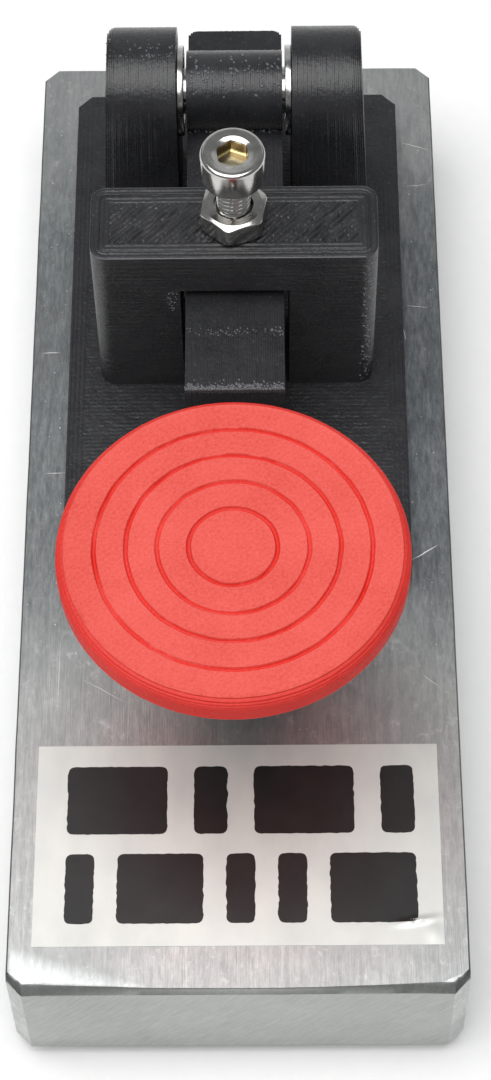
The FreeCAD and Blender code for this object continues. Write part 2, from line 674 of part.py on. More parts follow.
# ------------------------------------------------------------- socket and wires

def build_jack():
    """Rear socket for a three and a half millimetre plug: housing, bush and tags."""
    middle = "dims.plate_top + dims.jack_height / 2"
    case = block("jack_case", ("-dims.jack_half", "dims.jack_half"), ("dims.jack_front", "dims.jack_rear"),
                 ("dims.plate_top", "dims.plate_top + dims.jack_height"))
    mouth_y = "dims.jack_rear + dims.bush_out - dims.bush_length"
    seat = cylinder("jack_seat", "dims.bush_radius", "dims.bush_length", "0", mouth_y, middle, "Y")
    bore = cylinder("jack_inner", "dims.jack_bore", "dims.jack_rear - dims.jack_front - 1",
                    "0", "dims.jack_front + 1", middle, "Y")
    housing = cut("jack_case_bored", case, fuse("jack_room", [seat, bore]))
    bush = tube("jack_bush_solid", "dims.bush_radius", "dims.jack_bore", "dims.bush_length",
                "0", mouth_y, middle, "Y")
    tags = []
    for index, x in enumerate(("-dims.wire_x", "0", "dims.wire_x")):
        tags.append(block(f"jack_tag_{index}", (f"{x} - 0.6", f"{x} + 0.6"),
                          ("dims.jack_front - 2.6", "dims.jack_front"),
                          ("dims.plate_top + 2.3", "dims.plate_top + 2.6")))
    return housing, bush, group("jack_tag_set", tags)


def round_wire(name, points):
    """Insulated wire through a list of points, as tubes joined by ball corners."""
    pieces = []
    for index, point in enumerate(points):
        ball = bind(doc.addObject("Part::Sphere", f"{name}_turn_{index}"), Radius="dims.wire_radius")
        pieces.append(place(ball, *point))
    for index in range(len(points) - 1):
        first, second = points[index], points[index + 1]
        lengths = [number(second[i]) - number(first[i]) for i in range(3)]
        axis = max(range(3), key=lambda i: abs(lengths[i]))
        low = first if lengths[axis] > 0 else second
        high = second if lengths[axis] > 0 else first
        length = f"({high[axis]}) - ({low[axis]})"
        pieces.append(cylinder(f"{name}_run_{index}", "dims.wire_radius", length,
                               low[0], low[1], low[2], "XYZ"[axis]))
    return fuse(name + "_solid", pieces)


def build_wires():
    top = "dims.plate_top + 1.6"
    end = "dims.wire_y"
    contact_start = "dims.contact_y + 3.9"
    contact = round_wire("contact_wire", [
        ("dims.wire_x", contact_start, "dims.plate_base - 0.45"),
        ("dims.wire_x", contact_start, "dims.wire_z"),
        ("dims.wire_x", end, "dims.wire_z"), ("dims.wire_x", end, top),
    ])
    spring = round_wire("spring_wire", [
        ("-dims.wire_x", "dims.spring_y", "dims.plate_top - dims.cup_depth - dims.wire_radius - 0.02"),
        ("-dims.wire_x", "dims.spring_y", "dims.wire_z"),
        ("-dims.wire_x", end, "dims.wire_z"), ("-dims.wire_x", end, top),
    ])
    return contact, spring


def build_label():
    low = "dims.plate_base"
    return block("label_sheet_solid", ("-dims.label_half", "dims.label_half"),
                 ("dims.label_front", "dims.label_rear"), (low, f"{low} + dims.label_sheet"))


# --------------------------------------------------------------------- assembly

outer_rings, inner_rings, bearing_balls, bearing_shields = build_bearings()
jack_housing, jack_bush, jack_tags = build_jack()
contact_wire, spring_wire = build_wires()

NODES = {
    "aluminium_bar": build_bar(),
    "rubber_feet": build_feet(),
    "base_plate_print": build_plate(),
    "left_post": build_post(-1),
    "right_post": build_post(1),
    "gap_bridge": build_bridge(),
    "lever_arm": build_lever(),
    "knob": build_knob(),
    "knob_insert": tube("knob_insert_solid", "dims.insert_radius", "dims.nut_bore",
                        "dims.insert_height + 1", "0", "dims.knob_y", "dims.shelf_top + 1.5"),
    "knob_screw": sunk_screw("knob_screw_solid", "10", "0", "dims.knob_y", "dims.arm_base + 0.1"),
    "frame_screws": build_frame_screws(),
    "frame_inserts": build_frame_inserts(),
    "gap_insert": tube("gap_insert_solid", "dims.insert_radius", "dims.nut_bore",
                       "dims.bridge_top - dims.window_top - 0.3", "0", "dims.gap_y",
                       "dims.window_top + 0.3"),
    "gap_screw": build_gap_screw(),
    "gap_lock_nut": build_nut("gap_nut_solid", "0", "dims.gap_y", "dims.bridge_top", turn=80),
    "bearing_outer_rings": outer_rings,
    "bearing_inner_rings": inner_rings,
    "bearing_balls": bearing_balls,
    "bearing_shields": bearing_shields,
    "pivot_shaft": build_shaft(),
    "pivot_spacers": build_spacers(),
    "shaft_grub_screw": build_grub_screw(),
    "fixed_contact_screw": build_fixed_contact(),
    "fixed_contact_tag": build_contact_tag(),
    "fixed_contact_nut": build_nut("fixed_nut_solid", "0", "dims.contact_y",
                                   "dims.plate_base - 0.4 - dims.nut_height"),
    "moving_contact_stud": build_moving_contact(),
    "moving_contact_insert": tube("moving_insert_solid", "dims.insert_radius", "dims.nut_bore",
                                  "dims.shelf_top - dims.arm_base", "0", "dims.contact_y",
                                  "dims.arm_base"),
    "moving_contact_nut": build_nut("moving_nut_solid", "0", "dims.contact_y", "dims.shelf_top"),
    "contact_strip": build_strip(),
    "spring_cup": build_spring_cup(),
    "return_spring": build_spring(),
    "jack_housing": jack_housing,
    "jack_bush": jack_bush,
    "jack_tags": jack_tags,
    "contact_wire": contact_wire,
    "spring_lead": spring_wire,
    "label": build_label(),
}

doc.recompute()
for name, obj in NODES.items():
    obj.Label = name
for obj in doc.Objects:
    if "Invalid" in obj.State or "Error" in obj.State:
        raise ValueError(obj.Name + " did not compute")

os.makedirs("parts", exist_ok=True)
for name, obj in NODES.items():
    shape = obj.Shape
    if shape.isNull() or not shape.isValid() or not shape.Solids:
        raise ValueError(name + " is not a sound solid")
    shape.exportStep("parts/" + name + ".step")
    box = shape.BoundBox
    print(f"{name:22s} {len(shape.Solids):3d} solids  "
          f"x {box.XMin:6.2f} {box.XMax:6.2f}  y {box.YMin:6.2f} {box.YMax:6.2f}  "
          f"z {box.ZMin:6.2f} {box.ZMax:6.2f}  {shape.Volume:9.2f}")
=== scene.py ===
import bmesh
import bpy
import json
import math
import random
from mathutils import Matrix, Vector, noise


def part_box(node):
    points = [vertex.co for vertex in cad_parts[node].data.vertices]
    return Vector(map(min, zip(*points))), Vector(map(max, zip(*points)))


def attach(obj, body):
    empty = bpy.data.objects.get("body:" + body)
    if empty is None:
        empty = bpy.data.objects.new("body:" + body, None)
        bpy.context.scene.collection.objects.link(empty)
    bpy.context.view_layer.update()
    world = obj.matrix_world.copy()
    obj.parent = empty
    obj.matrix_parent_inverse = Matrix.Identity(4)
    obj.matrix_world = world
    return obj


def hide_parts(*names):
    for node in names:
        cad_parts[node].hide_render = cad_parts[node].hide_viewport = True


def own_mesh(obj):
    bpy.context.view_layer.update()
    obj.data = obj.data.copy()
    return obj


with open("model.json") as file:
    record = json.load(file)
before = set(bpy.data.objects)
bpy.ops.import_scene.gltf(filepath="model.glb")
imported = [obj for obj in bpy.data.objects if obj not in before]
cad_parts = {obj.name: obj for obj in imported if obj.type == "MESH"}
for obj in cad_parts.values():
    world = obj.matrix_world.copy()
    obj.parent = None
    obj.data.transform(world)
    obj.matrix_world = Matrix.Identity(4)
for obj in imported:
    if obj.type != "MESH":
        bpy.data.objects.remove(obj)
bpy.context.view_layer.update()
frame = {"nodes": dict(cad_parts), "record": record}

# Lengths below are millimetres in the CAD frame until make_piece() writes them in metres.
MM = 0.001

# Printed walls: layer height, and how one layer bulges between its two grooves.
LAYER = 0.2
LAYER_PROFILE = ((0.05, 1.0), (0.30, 0.0), (0.70, 0.0), (0.95, 1.0))
LAYER_GROOVE = 0.016
LAYER_DRIFT = 0.010
LINE_PITCH = 0.42
LINE_DEPTH = 0.035

WELD = 1e-8                 # metres within which two points are one
AXIS_RADIUS = 0.001         # stands for a point on a turned shape's axis

# Sizes that several pieces share.
PIVOT = (30.2, 32.4)        # y and z of the hinge line
POST_CROWN_RADIUS = 5.7
POST_INNER = 5.15           # x of the posts' inner faces
HUB_RADIUS = 3.6
HUB_HALF = 4.3
ARM_TOP = 30.2
STEP_Y = -1.05              # where the lever steps down to its front shelf
PLATE_TOP = 16.9
BRIDGE_FRONT = 8.8
BRIDGE_CORNER = 1.4
BEARING_FACE = 4.55         # x of the flanges' inner faces
INSERT_BORE = 2.32


def corners_of(node):
    """Lowest and highest corner of a CAD node, in millimetres."""
    low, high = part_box(node)
    return Vector(low) / MM, Vector(high) / MM


def middle_of(node):
    """Middle of a CAD node in plan, in millimetres."""
    low, high = corners_of(node)
    return (round((low.x + high.x) / 2, 2), round((low.y + high.y) / 2, 2))


# ------------------------------------------------------------------ mesh tools

def between(begin, end, share):
    """The flat point that lies a share of the way from begin to end."""
    return (begin[0] + (end[0] - begin[0]) * share, begin[1] + (end[1] - begin[1]) * share)


def on_circle(centre, radius, turn):
    """The point of a flat circle at an angle in radians."""
    return (centre[0] + radius * math.cos(turn), centre[1] + radius * math.sin(turn))


def turns(count):
    """The angles of a full turn in equal steps."""
    return [2 * math.pi * i / count for i in range(count)]


def place_object(name, data):
    """A new object of the scene that holds a mesh, light or camera."""
    made = bpy.data.objects.new(name, data)
    bpy.context.scene.collection.objects.link(made)
    return made


def mesh_of(name, shape, weld=False):
    """Mesh in metres from (points in mm, faces), its faces turned outwards."""
    points, faces = shape
    mesh = bpy.data.meshes.new(name)
    mesh.from_pydata([(x * MM, y * MM, z * MM) for x, y, z in points], [], faces)
    solid = bmesh.new()
    solid.from_mesh(mesh)
    if weld:
        bmesh.ops.remove_doubles(solid, verts=solid.verts, dist=WELD)
    bmesh.ops.recalc_face_normals(solid, faces=solid.faces)
    solid.to_mesh(mesh)
    solid.free()
    return mesh


def make_piece(name, shape, material, body, slot, replaces=(), sharp=40):
    """Turns (points in mm, faces) into a shaded object that rides on a body."""
    mesh = mesh_of(name, shape, weld=True)
    mesh.shade_smooth()
    mesh.set_sharp_from_angle(angle=math.radians(sharp))
    mesh.materials.append(material)
    piece = place_object(name, mesh)
    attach(piece, body)
    if replaces:
        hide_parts(*replaces)
    return piece


def join(*shapes):
    """Several (points, faces) shapes as one."""
    points, faces = [], []
    for more_points, more_faces in shapes:
        start = len(points)
        points.extend(more_points)
        faces.extend(tuple(index + start for index in face) for face in more_faces)
    return points, faces


def loft(rings, cap_start=True, cap_end=True):
    """Skin over closed rings that all have the same number of points."""
    size = len(rings[0])
    points = [point for ring in rings for point in ring]
    faces = []
    for k in range(len(rings) - 1):
        low, high = k * size, (k + 1) * size
        for i in range(size):
            j = (i + 1) % size
            faces.append((low + i, low + j, high + j, high + i))
    if cap_start:
        faces.append(tuple(reversed(range(size))))
    if cap_end:
        faces.append(tuple(range(len(points) - size, len(points))))
    return points, faces


def patch(low, high, columns, rows, height):
    """Open sheet over a rectangle; height(x, y) gives z."""
    points, faces = [], []
    for r in range(rows + 1):
        y = low[1] + (high[1] - low[1]) * r / rows
        for c in range(columns + 1):
            x = low[0] + (high[0] - low[0]) * c / columns
            points.append((x, y, height(x, y)))
    for r in range(rows):
        for c in range(columns):
            first = r * (columns + 1) + c
            faces.append((first, first + 1, first + columns + 2, first + columns + 1))
    return points, faces


def lathe(profile, centre, segments=96, wobble=None):
    """Turned shape about a vertical line. profile is (radius, z) from the bottom axis to the top axis."""
    rings = []
    for k, (radius, z) in enumerate(profile):
        ring = []
        for angle in turns(segments):
            dr, dz = wobble(k, angle, radius, z) if wobble else (0, 0)
            ring.append((*on_circle(centre, max(radius + dr, AXIS_RADIUS), angle), z + dz))
        rings.append(ring)
    return loft(rings)


def turned_on_hinge(profile, side, segments=96):
    """Closed ring turned about the hinge line. profile is (x, radius) round its section."""
    rings = [[(side * x, *on_circle(PIVOT, radius, angle)) for angle in turns(segments)]
             for x, radius in profile]
    rings.append(rings[0])
    return loft(rings, cap_start=False, cap_end=False)


def speck(centre, normal, size, stretch=1.0):
    """One small blob of plastic standing on a surface."""
    up = Vector(normal).normalized()
    side = up.orthogonal().normalized()
    across = up.cross(side)
    sides, rings = 7, []
    for lift, share in ((-0.2, 1.0), (0.25, 0.92), (0.55, 0.62)):
        ring = []
        for angle in turns(sides):
            spot = (Vector(centre) + up * (size * lift) + side * (size * share * math.cos(angle))
                    + across * (size * share * stretch * math.sin(angle)))
            ring.append(tuple(spot))
        rings.append(ring)
    points, faces = loft(rings, cap_start=False, cap_end=False)
    points.append(tuple(Vector(centre) + up * (size * 0.68)))
    tip, first = len(points) - 1, len(points) - 1 - sides
    faces += [(first + i, first + (i + 1) % sides, tip) for i in range(sides)]
    return points, faces


def smooth_noise(x, y, z, size, seed=0):
    """Noise from about -1 to 1 with features of the given size in mm."""
    return noise.noise(Vector((x / size + 17.3 * seed, y / size - 5.1 * seed, z / size + 3.7 * seed)))


def outward_normals(points):
    """Unit normals of a closed counter-clockwise outline."""
    normals = []
    for i, _ in enumerate(points):
        before, after = points[i - 1], points[(i + 1) % len(points)]
        dx, dy = after[0] - before[0], after[1] - before[1]
        length = math.hypot(dx, dy) or 1.0
        normals.append((dy / length, -dx / length))
    return normals


def layered_rings(outline_at, start, stop, place, seed, roughness=0.012, layer=LAYER, groove=LAYER_GROOVE):
    """Rings of a printed wall, layer by layer. outline_at(t) is the outline at height t along the build."""
    source = random.Random(seed)
    count = max(1, round(abs(stop - start) / layer))
    step = (stop - start) / count
    rings = []
    for k in range(count):
        low = start + k * step
        points = outline_at(low + step / 2)
        normals = outward_normals(points)
        drift = source.uniform(0, LAYER_DRIFT)
        for share, sunk in LAYER_PROFILE:
            ring = []
            for (u, v), (nu, nv) in zip(points, normals):
                rough = roughness * (1 + smooth_noise(u, v, k * 1.7, 0.9, seed))
                inset = groove * sunk + drift + rough
                ring.append(place(u - nu * inset, v - nv * inset, low + share * step))
            rings.append(ring)
    return rings


def box_outline(low, high, corner, step, corner_steps=6, chamfer=False, inset=0.0):
    """Counter-clockwise rectangle with rounded or chamfered corners, always the same number of points.

    An inset shortens a chamfer by 0.59 of its depth (2 less the square root of 2)."""
    x0, y0, x1, y1 = low[0] + inset, low[1] + inset, high[0] - inset, high[1] - inset
    radius = max(corner - inset * (0.59 if chamfer else 1.0), 0.02)
    across = max(2, round((high[0] - low[0]) / step))
    along = max(2, round((high[1] - low[1]) / step))
    sides = (
        ((x0 + radius, y0), (x1 - radius, y0), across, (x1 - radius, y0 + radius), -90),
        ((x1, y0 + radius), (x1, y1 - radius), along, (x1 - radius, y1 - radius), 0),
        ((x1 - radius, y1), (x0 + radius, y1), across, (x0 + radius, y1 - radius), 90),
        ((x0, y1 - radius), (x0, y0 + radius), along, (x0 + radius, y0 + radius), 180),
    )
    points = []
    for begin, end, count, centre, angle in sides:
        points += [between(begin, end, i / count) for i in range(count)]
        last = on_circle(centre, radius, math.radians(angle + 90))
        for i in range(corner_steps):
            share = i / corner_steps
            if chamfer:
                points.append(between(end, last, share))
            else:
                points.append(on_circle(centre, radius, math.radians(angle + 90 * share)))
    return points


def line_profile(position):
    """Height of printed lines side by side: 0 on a line's crown, down to -LINE_DEPTH between lines."""
    share = position / LINE_PITCH - math.floor(position / LINE_PITCH)
    return -LINE_DEPTH * (abs(2 * share - 1) ** 3)


def perimeter_rings(outline_with, z, lines, relief=1.0):
    """Rings running inwards over the top layer: a few lines that follow the edge."""
    rings = []
    for k in range(lines):
        for share in (0.06, 0.3, 0.7, 0.94):
            inset = (k + share) * LINE_PITCH
            depth = relief * line_profile(inset)
            rings.append([
                (x, y, z + depth - 0.012 * (1 + smooth_noise(x, y, k, 0.8, 3)))
                for x, y in outline_with(inset)
            ])
    return rings


def bead(outline_with, inset, z, radius):
    """A thin round thread laid along an outline."""
    rings = []
    for i in range(8):
        turn = math.radians(45 * i)
        reach = radius * math.sin(turn)
        rings.append([
            (x, y, z + reach + 0.25 * radius * smooth_noise(x, y, 0, 0.9, 16))
            for x, y in outline_with(inset + radius * math.cos(turn))
        ])
    rings.append(rings[0])
    return loft(rings, cap_start=False, cap_end=False)


def upright(x, y, z):
    return (x, y, z)


def sideways(y, z, x):
    return (x, y, z)


def drill(piece, tools):
    """Cuts (points, faces) tools out of a piece, once, in its mesh."""
    cutter = place_object("drill", mesh_of("drill", join(*tools)))
    modifier = piece.modifiers.new("drill", "BOOLEAN")
    modifier.operation = "DIFFERENCE"
    modifier.solver = "EXACT"
    modifier.object = cutter
    bpy.context.view_layer.update()
    evaluated = piece.evaluated_get(bpy.context.evaluated_depsgraph_get())
    cut = bpy.data.meshes.new_from_object(evaluated)
    piece.modifiers.clear()
    piece.data = cut
    bpy.data.objects.remove(cutter)
    return piece


# ------------------------------------------------------------------- materials

class Recipe:
    """One procedural material whose textures are fixed to the object, in millimetres."""

    def __init__(self, name, metallic=0.0, ior=1.5, specular=0.5):
        self.material = bpy.data.materials.new(name)
        self.material.use_nodes = True
        self.tree = self.material.node_tree
        self.shader = self.tree.nodes["Principled BSDF"]
        self.shader.inputs["Metallic"].default_value = metallic
        self.shader.inputs["IOR"].default_value = ior
        self.shader.inputs["Specular IOR Level"].default_value = specular
        self.place = self.tree.nodes.new("ShaderNodeTexCoord").outputs["Object"]

    def node(self, kind, **settings):
        made = self.tree.nodes.new(kind)
        for key, value in settings.items():
            setattr(made, key, value)
        return made

    def link(self, source, target):
        self.tree.links.new(source, target)

    def coordinates(self, stretch=(1, 1, 1), turn=(0, 0, 0)):
        mapping = self.node("ShaderNodeMapping", vector_type="POINT")
        mapping.inputs["Scale"].default_value = [s / MM for s in stretch]
        turned = self.place
        if any(turn):
            rotate = self.node("ShaderNodeMapping", vector_type="POINT")
            rotate.inputs["Rotation"].default_value = [math.radians(a) for a in turn]
            self.link(self.place, rotate.inputs["Vector"])
            turned = rotate.outputs["Vector"]
        self.link(turned, mapping.inputs["Vector"])
        return mapping.outputs["Vector"]

    def noise(self, scale, stretch=(1, 1, 1), turn=(0, 0, 0), detail=3.0, rough=0.55, shift=0.0):
        made = self.node("ShaderNodeTexNoise", noise_dimensions="4D")
        made.inputs["Scale"].default_value = scale
        made.inputs["W"].default_value = shift
        made.inputs["Detail"].default_value = detail
        made.inputs["Roughness"].default_value = rough
        self.link(self.coordinates(stretch, turn), made.inputs["Vector"])
        return made.outputs["Fac"]

    def lines(self, pitch, turn, wobble):
        """Stripes along X of the turned coordinates, pitch in mm."""
        made = self.node("ShaderNodeTexWave", wave_type="BANDS", bands_direction="X", wave_profile="SIN")
        made.inputs["Scale"].default_value = 0.314 / pitch
        made.inputs["Distortion"].default_value = wobble
        made.inputs["Detail"].default_value = 1.0
        made.inputs["Detail Scale"].default_value = 1.5
        self.link(self.coordinates(turn=turn), made.inputs["Vector"])
        return made.outputs["Fac"]

    def spread(self, value, low, high, to_low=0.0, to_high=1.0):
        made = self.node("ShaderNodeMapRange")
        for key, number in (("From Min", low), ("From Max", high), ("To Min", to_low), ("To Max", to_high)):
            made.inputs[key].default_value = number
        self.link(value, made.inputs["Value"])
        return made.outputs["Result"]

    def math(self, operation, first, second):
        made = self.node("ShaderNodeMath", operation=operation)
        for socket, value in zip(made.inputs, (first, second)):
            if isinstance(value, (int, float)):
                socket.default_value = value
            else:
                self.link(value, socket)
        return made.outputs["Value"]

    def times(self, first, second):
        return self.math("MULTIPLY", first, second)

    def colours(self, value, stops):
        made = self.node("ShaderNodeValToRGB")
        ramp = made.color_ramp
        while len(ramp.elements) < len(stops):
            ramp.elements.new(0.5)
        for element, (position, colour) in zip(ramp.elements, stops):
            element.position = position
            element.color = (*colour, 1.0)
        self.link(value, made.inputs["Fac"])
        return made.outputs["Color"]

    def mix(self, share, first, second):
        made = self.node("ShaderNodeMix", data_type="RGBA")
        self.link(share, made.inputs[0])
        for socket, value in ((made.inputs[6], first), (made.inputs[7], second)):
            if isinstance(value, tuple):
                socket.default_value = (*value, 1.0)
            else:
                self.link(value, socket)
        return made.outputs[2]

    def spot(self):
        """Separate X, Y and Z of the place on the object, in metres."""
        split = self.node("ShaderNodeSeparateXYZ")
        self.link(self.place, split.inputs["Vector"])
        return split.outputs

    def facing(self, axis):
        """Absolute share of the surface normal along an axis of the object."""
        normal = self.node("ShaderNodeNewGeometry").outputs["Normal"]
        split = self.node("ShaderNodeSeparateXYZ")
        self.link(normal, split.inputs["Vector"])
        return self.math("ABSOLUTE", split.outputs[axis], 0.0)

    def colour(self, value):
        self.link(value, self.shader.inputs["Base Color"])

    def roughness(self, value):
        self.link(value, self.shader.inputs["Roughness"])

    def bump(self, layers):
        """layers: (height output, depth in mm) pairs, from coarse to fine."""
        normal = None
        for height, depth in layers:
            made = self.node("ShaderNodeBump")
            made.inputs["Strength"].default_value = 1.0
            made.inputs["Distance"].default_value = depth * MM
            self.link(height, made.inputs["Height"])
            if normal:
                self.link(normal, made.inputs["Normal"])
            normal = made.outputs["Normal"]
        self.link(normal, self.shader.inputs["Normal"])


def black_print(name, tone=0.022, gloss=(0.24, 0.33), grit=1.0, glint_amount=1.0):
    """Satin black printed plastic: fine grain, dull and shiny patches, pale specks painted in as glints."""
    recipe = Recipe(name, ior=1.48)
    patches = recipe.noise(0.35, detail=3)
    grain = recipe.noise(3.4, detail=3, rough=0.65)
    # Painted glints: pale specks scattered through the colour.
    glint_spots = recipe.spread(recipe.noise(3.2, detail=1, shift=4.0), 0.64, 0.76)
    dark, light = 0.80 * tone, 1.20 * tone
    plain = recipe.colours(patches, [(0.3, (dark, 1.02 * dark, 1.13 * dark)),
                                     (0.7, (light, 1.02 * light, 1.11 * light))])
    specks = recipe.times(glint_spots, 0.35 * glint_amount)
    recipe.colour(recipe.mix(specks, plain, (0.11, 0.11, 0.115)))
    recipe.roughness(recipe.math("ADD", recipe.spread(patches, 0.3, 0.7, *gloss),
                                 recipe.spread(grain, 0.3, 0.7, -0.04, 0.08)))
    recipe.bump([
        (recipe.noise(1.9, detail=2, shift=7.0), 0.050 * grit),
        (grain, 0.045 * grit),
        (recipe.noise(13.0, detail=2), 0.012),
    ])
    return recipe.material


def red_print(top):
    """Matte red printed plastic: a painted sheen makes the top face paler and lighter, deeper red below it
    and in the grooves.
    """
    recipe = Recipe("red_print", ior=1.46)
    patches = recipe.noise(0.22, detail=4)
    grain = recipe.noise(4.0, detail=3, rough=0.7)
    # Painted sheen: a paler, lighter red on the top face, fading out between 0.05 and 0.22 mm below it; the
    # deeper red elsewhere is the plastic's own.
    sheen_colour = recipe.mix(
        recipe.spread(grain, 0.35, 0.65, 0.0, 0.55),
        recipe.colours(patches, [(0.35, (0.68, 0.054, 0.036)), (0.65, (0.76, 0.080, 0.062))]),
        (0.87, 0.145, 0.118),
    )
    painted_light = recipe.spread(recipe.spot()["Z"], (top - 0.22) * MM, (top - 0.05) * MM)
    deep = recipe.colours(patches, [(0.35, (0.66, 0.020, 0.012)), (0.65, (0.72, 0.028, 0.018))])
    recipe.colour(recipe.mix(painted_light, deep, sheen_colour))
    recipe.roughness(recipe.spread(grain, 0.3, 0.7, 0.48, 0.62))
    recipe.bump([
        (recipe.lines(LINE_PITCH, turn=(0, 0, 45), wobble=1.2), 0.014),
        (recipe.noise(1.3, detail=2, shift=3.0), 0.050),
        (grain, 0.055),
        (recipe.noise(14.0, detail=2), 0.008),
    ])
    return recipe.material


def brushed_aluminium():
    """Bar stock: fine grain along the bar on its long faces, sanded ends, dull stains, painted shade over the
    middle of the top and on the broken edges.
    """
    recipe = Recipe("brushed_aluminium", metallic=1.0)
    along = recipe.noise(1.0, stretch=(7.0, 0.06, 7.0), detail=4, rough=0.65)
    streaks = recipe.noise(1.0, stretch=(1.6, 0.03, 1.6), detail=3, rough=0.6, shift=3.0)
    fine = recipe.noise(1.0, stretch=(18.0, 0.22, 18.0), detail=3, rough=0.6, shift=2.0)
    sanded = recipe.noise(1.0, stretch=(5.0, 5.0, 0.35), turn=(0, -38, 0), detail=4, rough=0.65, shift=5.0)
    stains = recipe.noise(0.13, stretch=(1.0, 0.6, 1.0), detail=6, rough=0.68, shift=9.0)
    blotches = recipe.noise(0.9, detail=5, rough=0.75, shift=6.0)
    grime_and_shade_mottle = recipe.noise(1.0, stretch=(2.4, 0.55, 2.4), detail=7, rough=0.82, shift=1.0)
    facing_end, facing_side = recipe.facing("Y"), recipe.facing("X")
    end = recipe.spread(facing_end, 0.75, 0.95)
    tint = recipe.colours(stains, [(0.32, (0.43, 0.45, 0.445)), (0.5, (0.59, 0.605, 0.59)),
                                   (0.68, (0.74, 0.75, 0.725))])
    stock = recipe.mix(recipe.spread(along, 0.35, 0.7, 0.0, 0.30), tint, (0.34, 0.355, 0.355))
    stock = recipe.mix(recipe.spread(streaks, 0.40, 0.65, 0.0, 0.35), stock, (0.40, 0.415, 0.415))
    stock = recipe.mix(recipe.spread(grime_and_shade_mottle, 0.38, 0.60, 0.55, 0.0), stock, (0.30, 0.315, 0.315))
    stock = recipe.mix(recipe.spread(blotches, 0.56, 0.70, 0.0, 0.50), stock, (0.84, 0.85, 0.83))
    # Painted shade: the middle of the top is darkened in mottled dark grey, more towards the right: its edges
    # in y, and the height where the top begins.
    front_fade, rear_fade, top_fade, ragged_by = (-20, -8), (24, 39), (13.2, 13.7), 7
    spot = recipe.spot()
    ragged = recipe.math("ADD", spot["Y"], recipe.spread(stains, 0.3, 0.7, -ragged_by * MM, ragged_by * MM))
    shaded_middle = recipe.times(recipe.spread(ragged, front_fade[0] * MM, front_fade[1] * MM),
                          recipe.spread(ragged, rear_fade[0] * MM, rear_fade[1] * MM, 1.0, 0.0))
    painted_light = recipe.colours(grime_and_shade_mottle, [(0.36, (0.10, 0.11, 0.12)), (0.50, (0.19, 0.205, 0.215)),
                                  (0.66, (0.34, 0.355, 0.36))])
    sided = recipe.spread(spot["X"], -12 * MM, 12 * MM, 0.66, 0.88)
    on_top = recipe.times(sided, recipe.spread(spot["Z"], top_fade[0] * MM, top_fade[1] * MM))
    stock = recipe.mix(recipe.times(shaded_middle, on_top), stock, painted_light)
    swirled = recipe.colours(sanded, [(0.35, (0.36, 0.37, 0.36)), (0.65, (0.47, 0.48, 0.46))])
    body = recipe.mix(recipe.times(end, 0.8), stock, swirled)
    # Painted shade: the sloped broken edges, picked out by the way they face, are darkened, the long edges
    # more than the ends.
    level = recipe.facing("Z")
    sloped = recipe.times(recipe.spread(level, 0.3, 0.5),
                         recipe.spread(level, 0.85, 0.95, 1.0, 0.0))
    side_edge = recipe.times(recipe.spread(facing_side, 0.3, 0.55), sloped)
    end_edge = recipe.times(recipe.spread(facing_end, 0.3, 0.55), sloped)
    edge_shaded = recipe.mix(recipe.times(end_edge, 0.55), body, (0.20, 0.205, 0.19))
    recipe.colour(recipe.mix(recipe.times(side_edge, 0.85), edge_shaded, (0.10, 0.105, 0.10)))
    lengthwise = recipe.spread(stains, 0.3, 0.7, 0.46, 0.36)
    recipe.roughness(recipe.math("ADD", lengthwise, recipe.times(end, 0.06)))
    grain = recipe.node("ShaderNodeMix", data_type="FLOAT")
    recipe.link(end, grain.inputs[0])
    recipe.link(fine, grain.inputs[2])
    recipe.link(sanded, grain.inputs[3])
    recipe.bump([(streaks, 0.010), (along, 0.012), (grain.outputs[0], 0.018)])
    return recipe.material


def metal(name, tone, dark, rough, painted_socket_light=None):
    """Turned or plated metal with faint tarnish and hair scratches.

    The last argument is (y, top, reach, wall colour, floor colour) for a socket sunk from the top: painted
    shade, dark brown, on its upper walls and a painted reflection, pale gold, on its lower walls and floor."""
    recipe = Recipe(name, metallic=1.0)
    tarnish = recipe.noise(0.8, detail=4)
    scratches = recipe.noise(1.0, stretch=(14.0, 14.0, 2.0), detail=3, rough=0.7)
    finish = recipe.colours(tarnish, [(0.35, dark), (0.62, tone)])
    if painted_socket_light:
        y, top, reach, wall, floor = painted_socket_light
        spot = recipe.spot()
        off = recipe.math("SUBTRACT", spot["Y"], y * MM)
        square = recipe.math("ADD", recipe.math("POWER", spot["X"], 2.0), recipe.math("POWER", off, 2.0))
        near = recipe.spread(recipe.math("SQRT", square, 0.0), (reach - 0.05) * MM, reach * MM, 1.0, 0.0)
        deep = recipe.spread(spot["Z"], (top - 0.40) * MM, (top - 0.22) * MM, 1.0, 0.0)
        above = recipe.spread(spot["Z"], (top - 2.2) * MM, (top - 2.1) * MM)
        sunk = recipe.spread(spot["Z"], (top - 1.42) * MM, (top - 1.25) * MM, 1.0, 0.0)
        inside = recipe.times(recipe.times(near, deep), above)
        # Painted shade on the socket's upper walls and a painted reflection, pale gold, on its lower walls
        # and floor.
        finish = recipe.mix(inside, finish, recipe.mix(sunk, wall, floor))
    recipe.colour(finish)
    recipe.roughness(recipe.spread(scratches, 0.3, 0.7, rough * 0.8, rough * 1.4))
    recipe.bump([(scratches, 0.004)])
    return recipe.material


def plastic(name, tone, pale, rough, grain=0.010):
    """Moulded plastic or rubber with a faint texture."""
    recipe = Recipe(name, ior=1.48)
    mottle = recipe.noise(1.1, detail=3)
    texture = recipe.noise(9.0, detail=2)
    recipe.colour(recipe.colours(mottle, [(0.3, tone), (0.75, pale)]))
    recipe.roughness(recipe.spread(texture, 0.3, 0.7, rough - 0.05, rough + 0.08))
    recipe.bump([(texture, grain)])
    return recipe.material


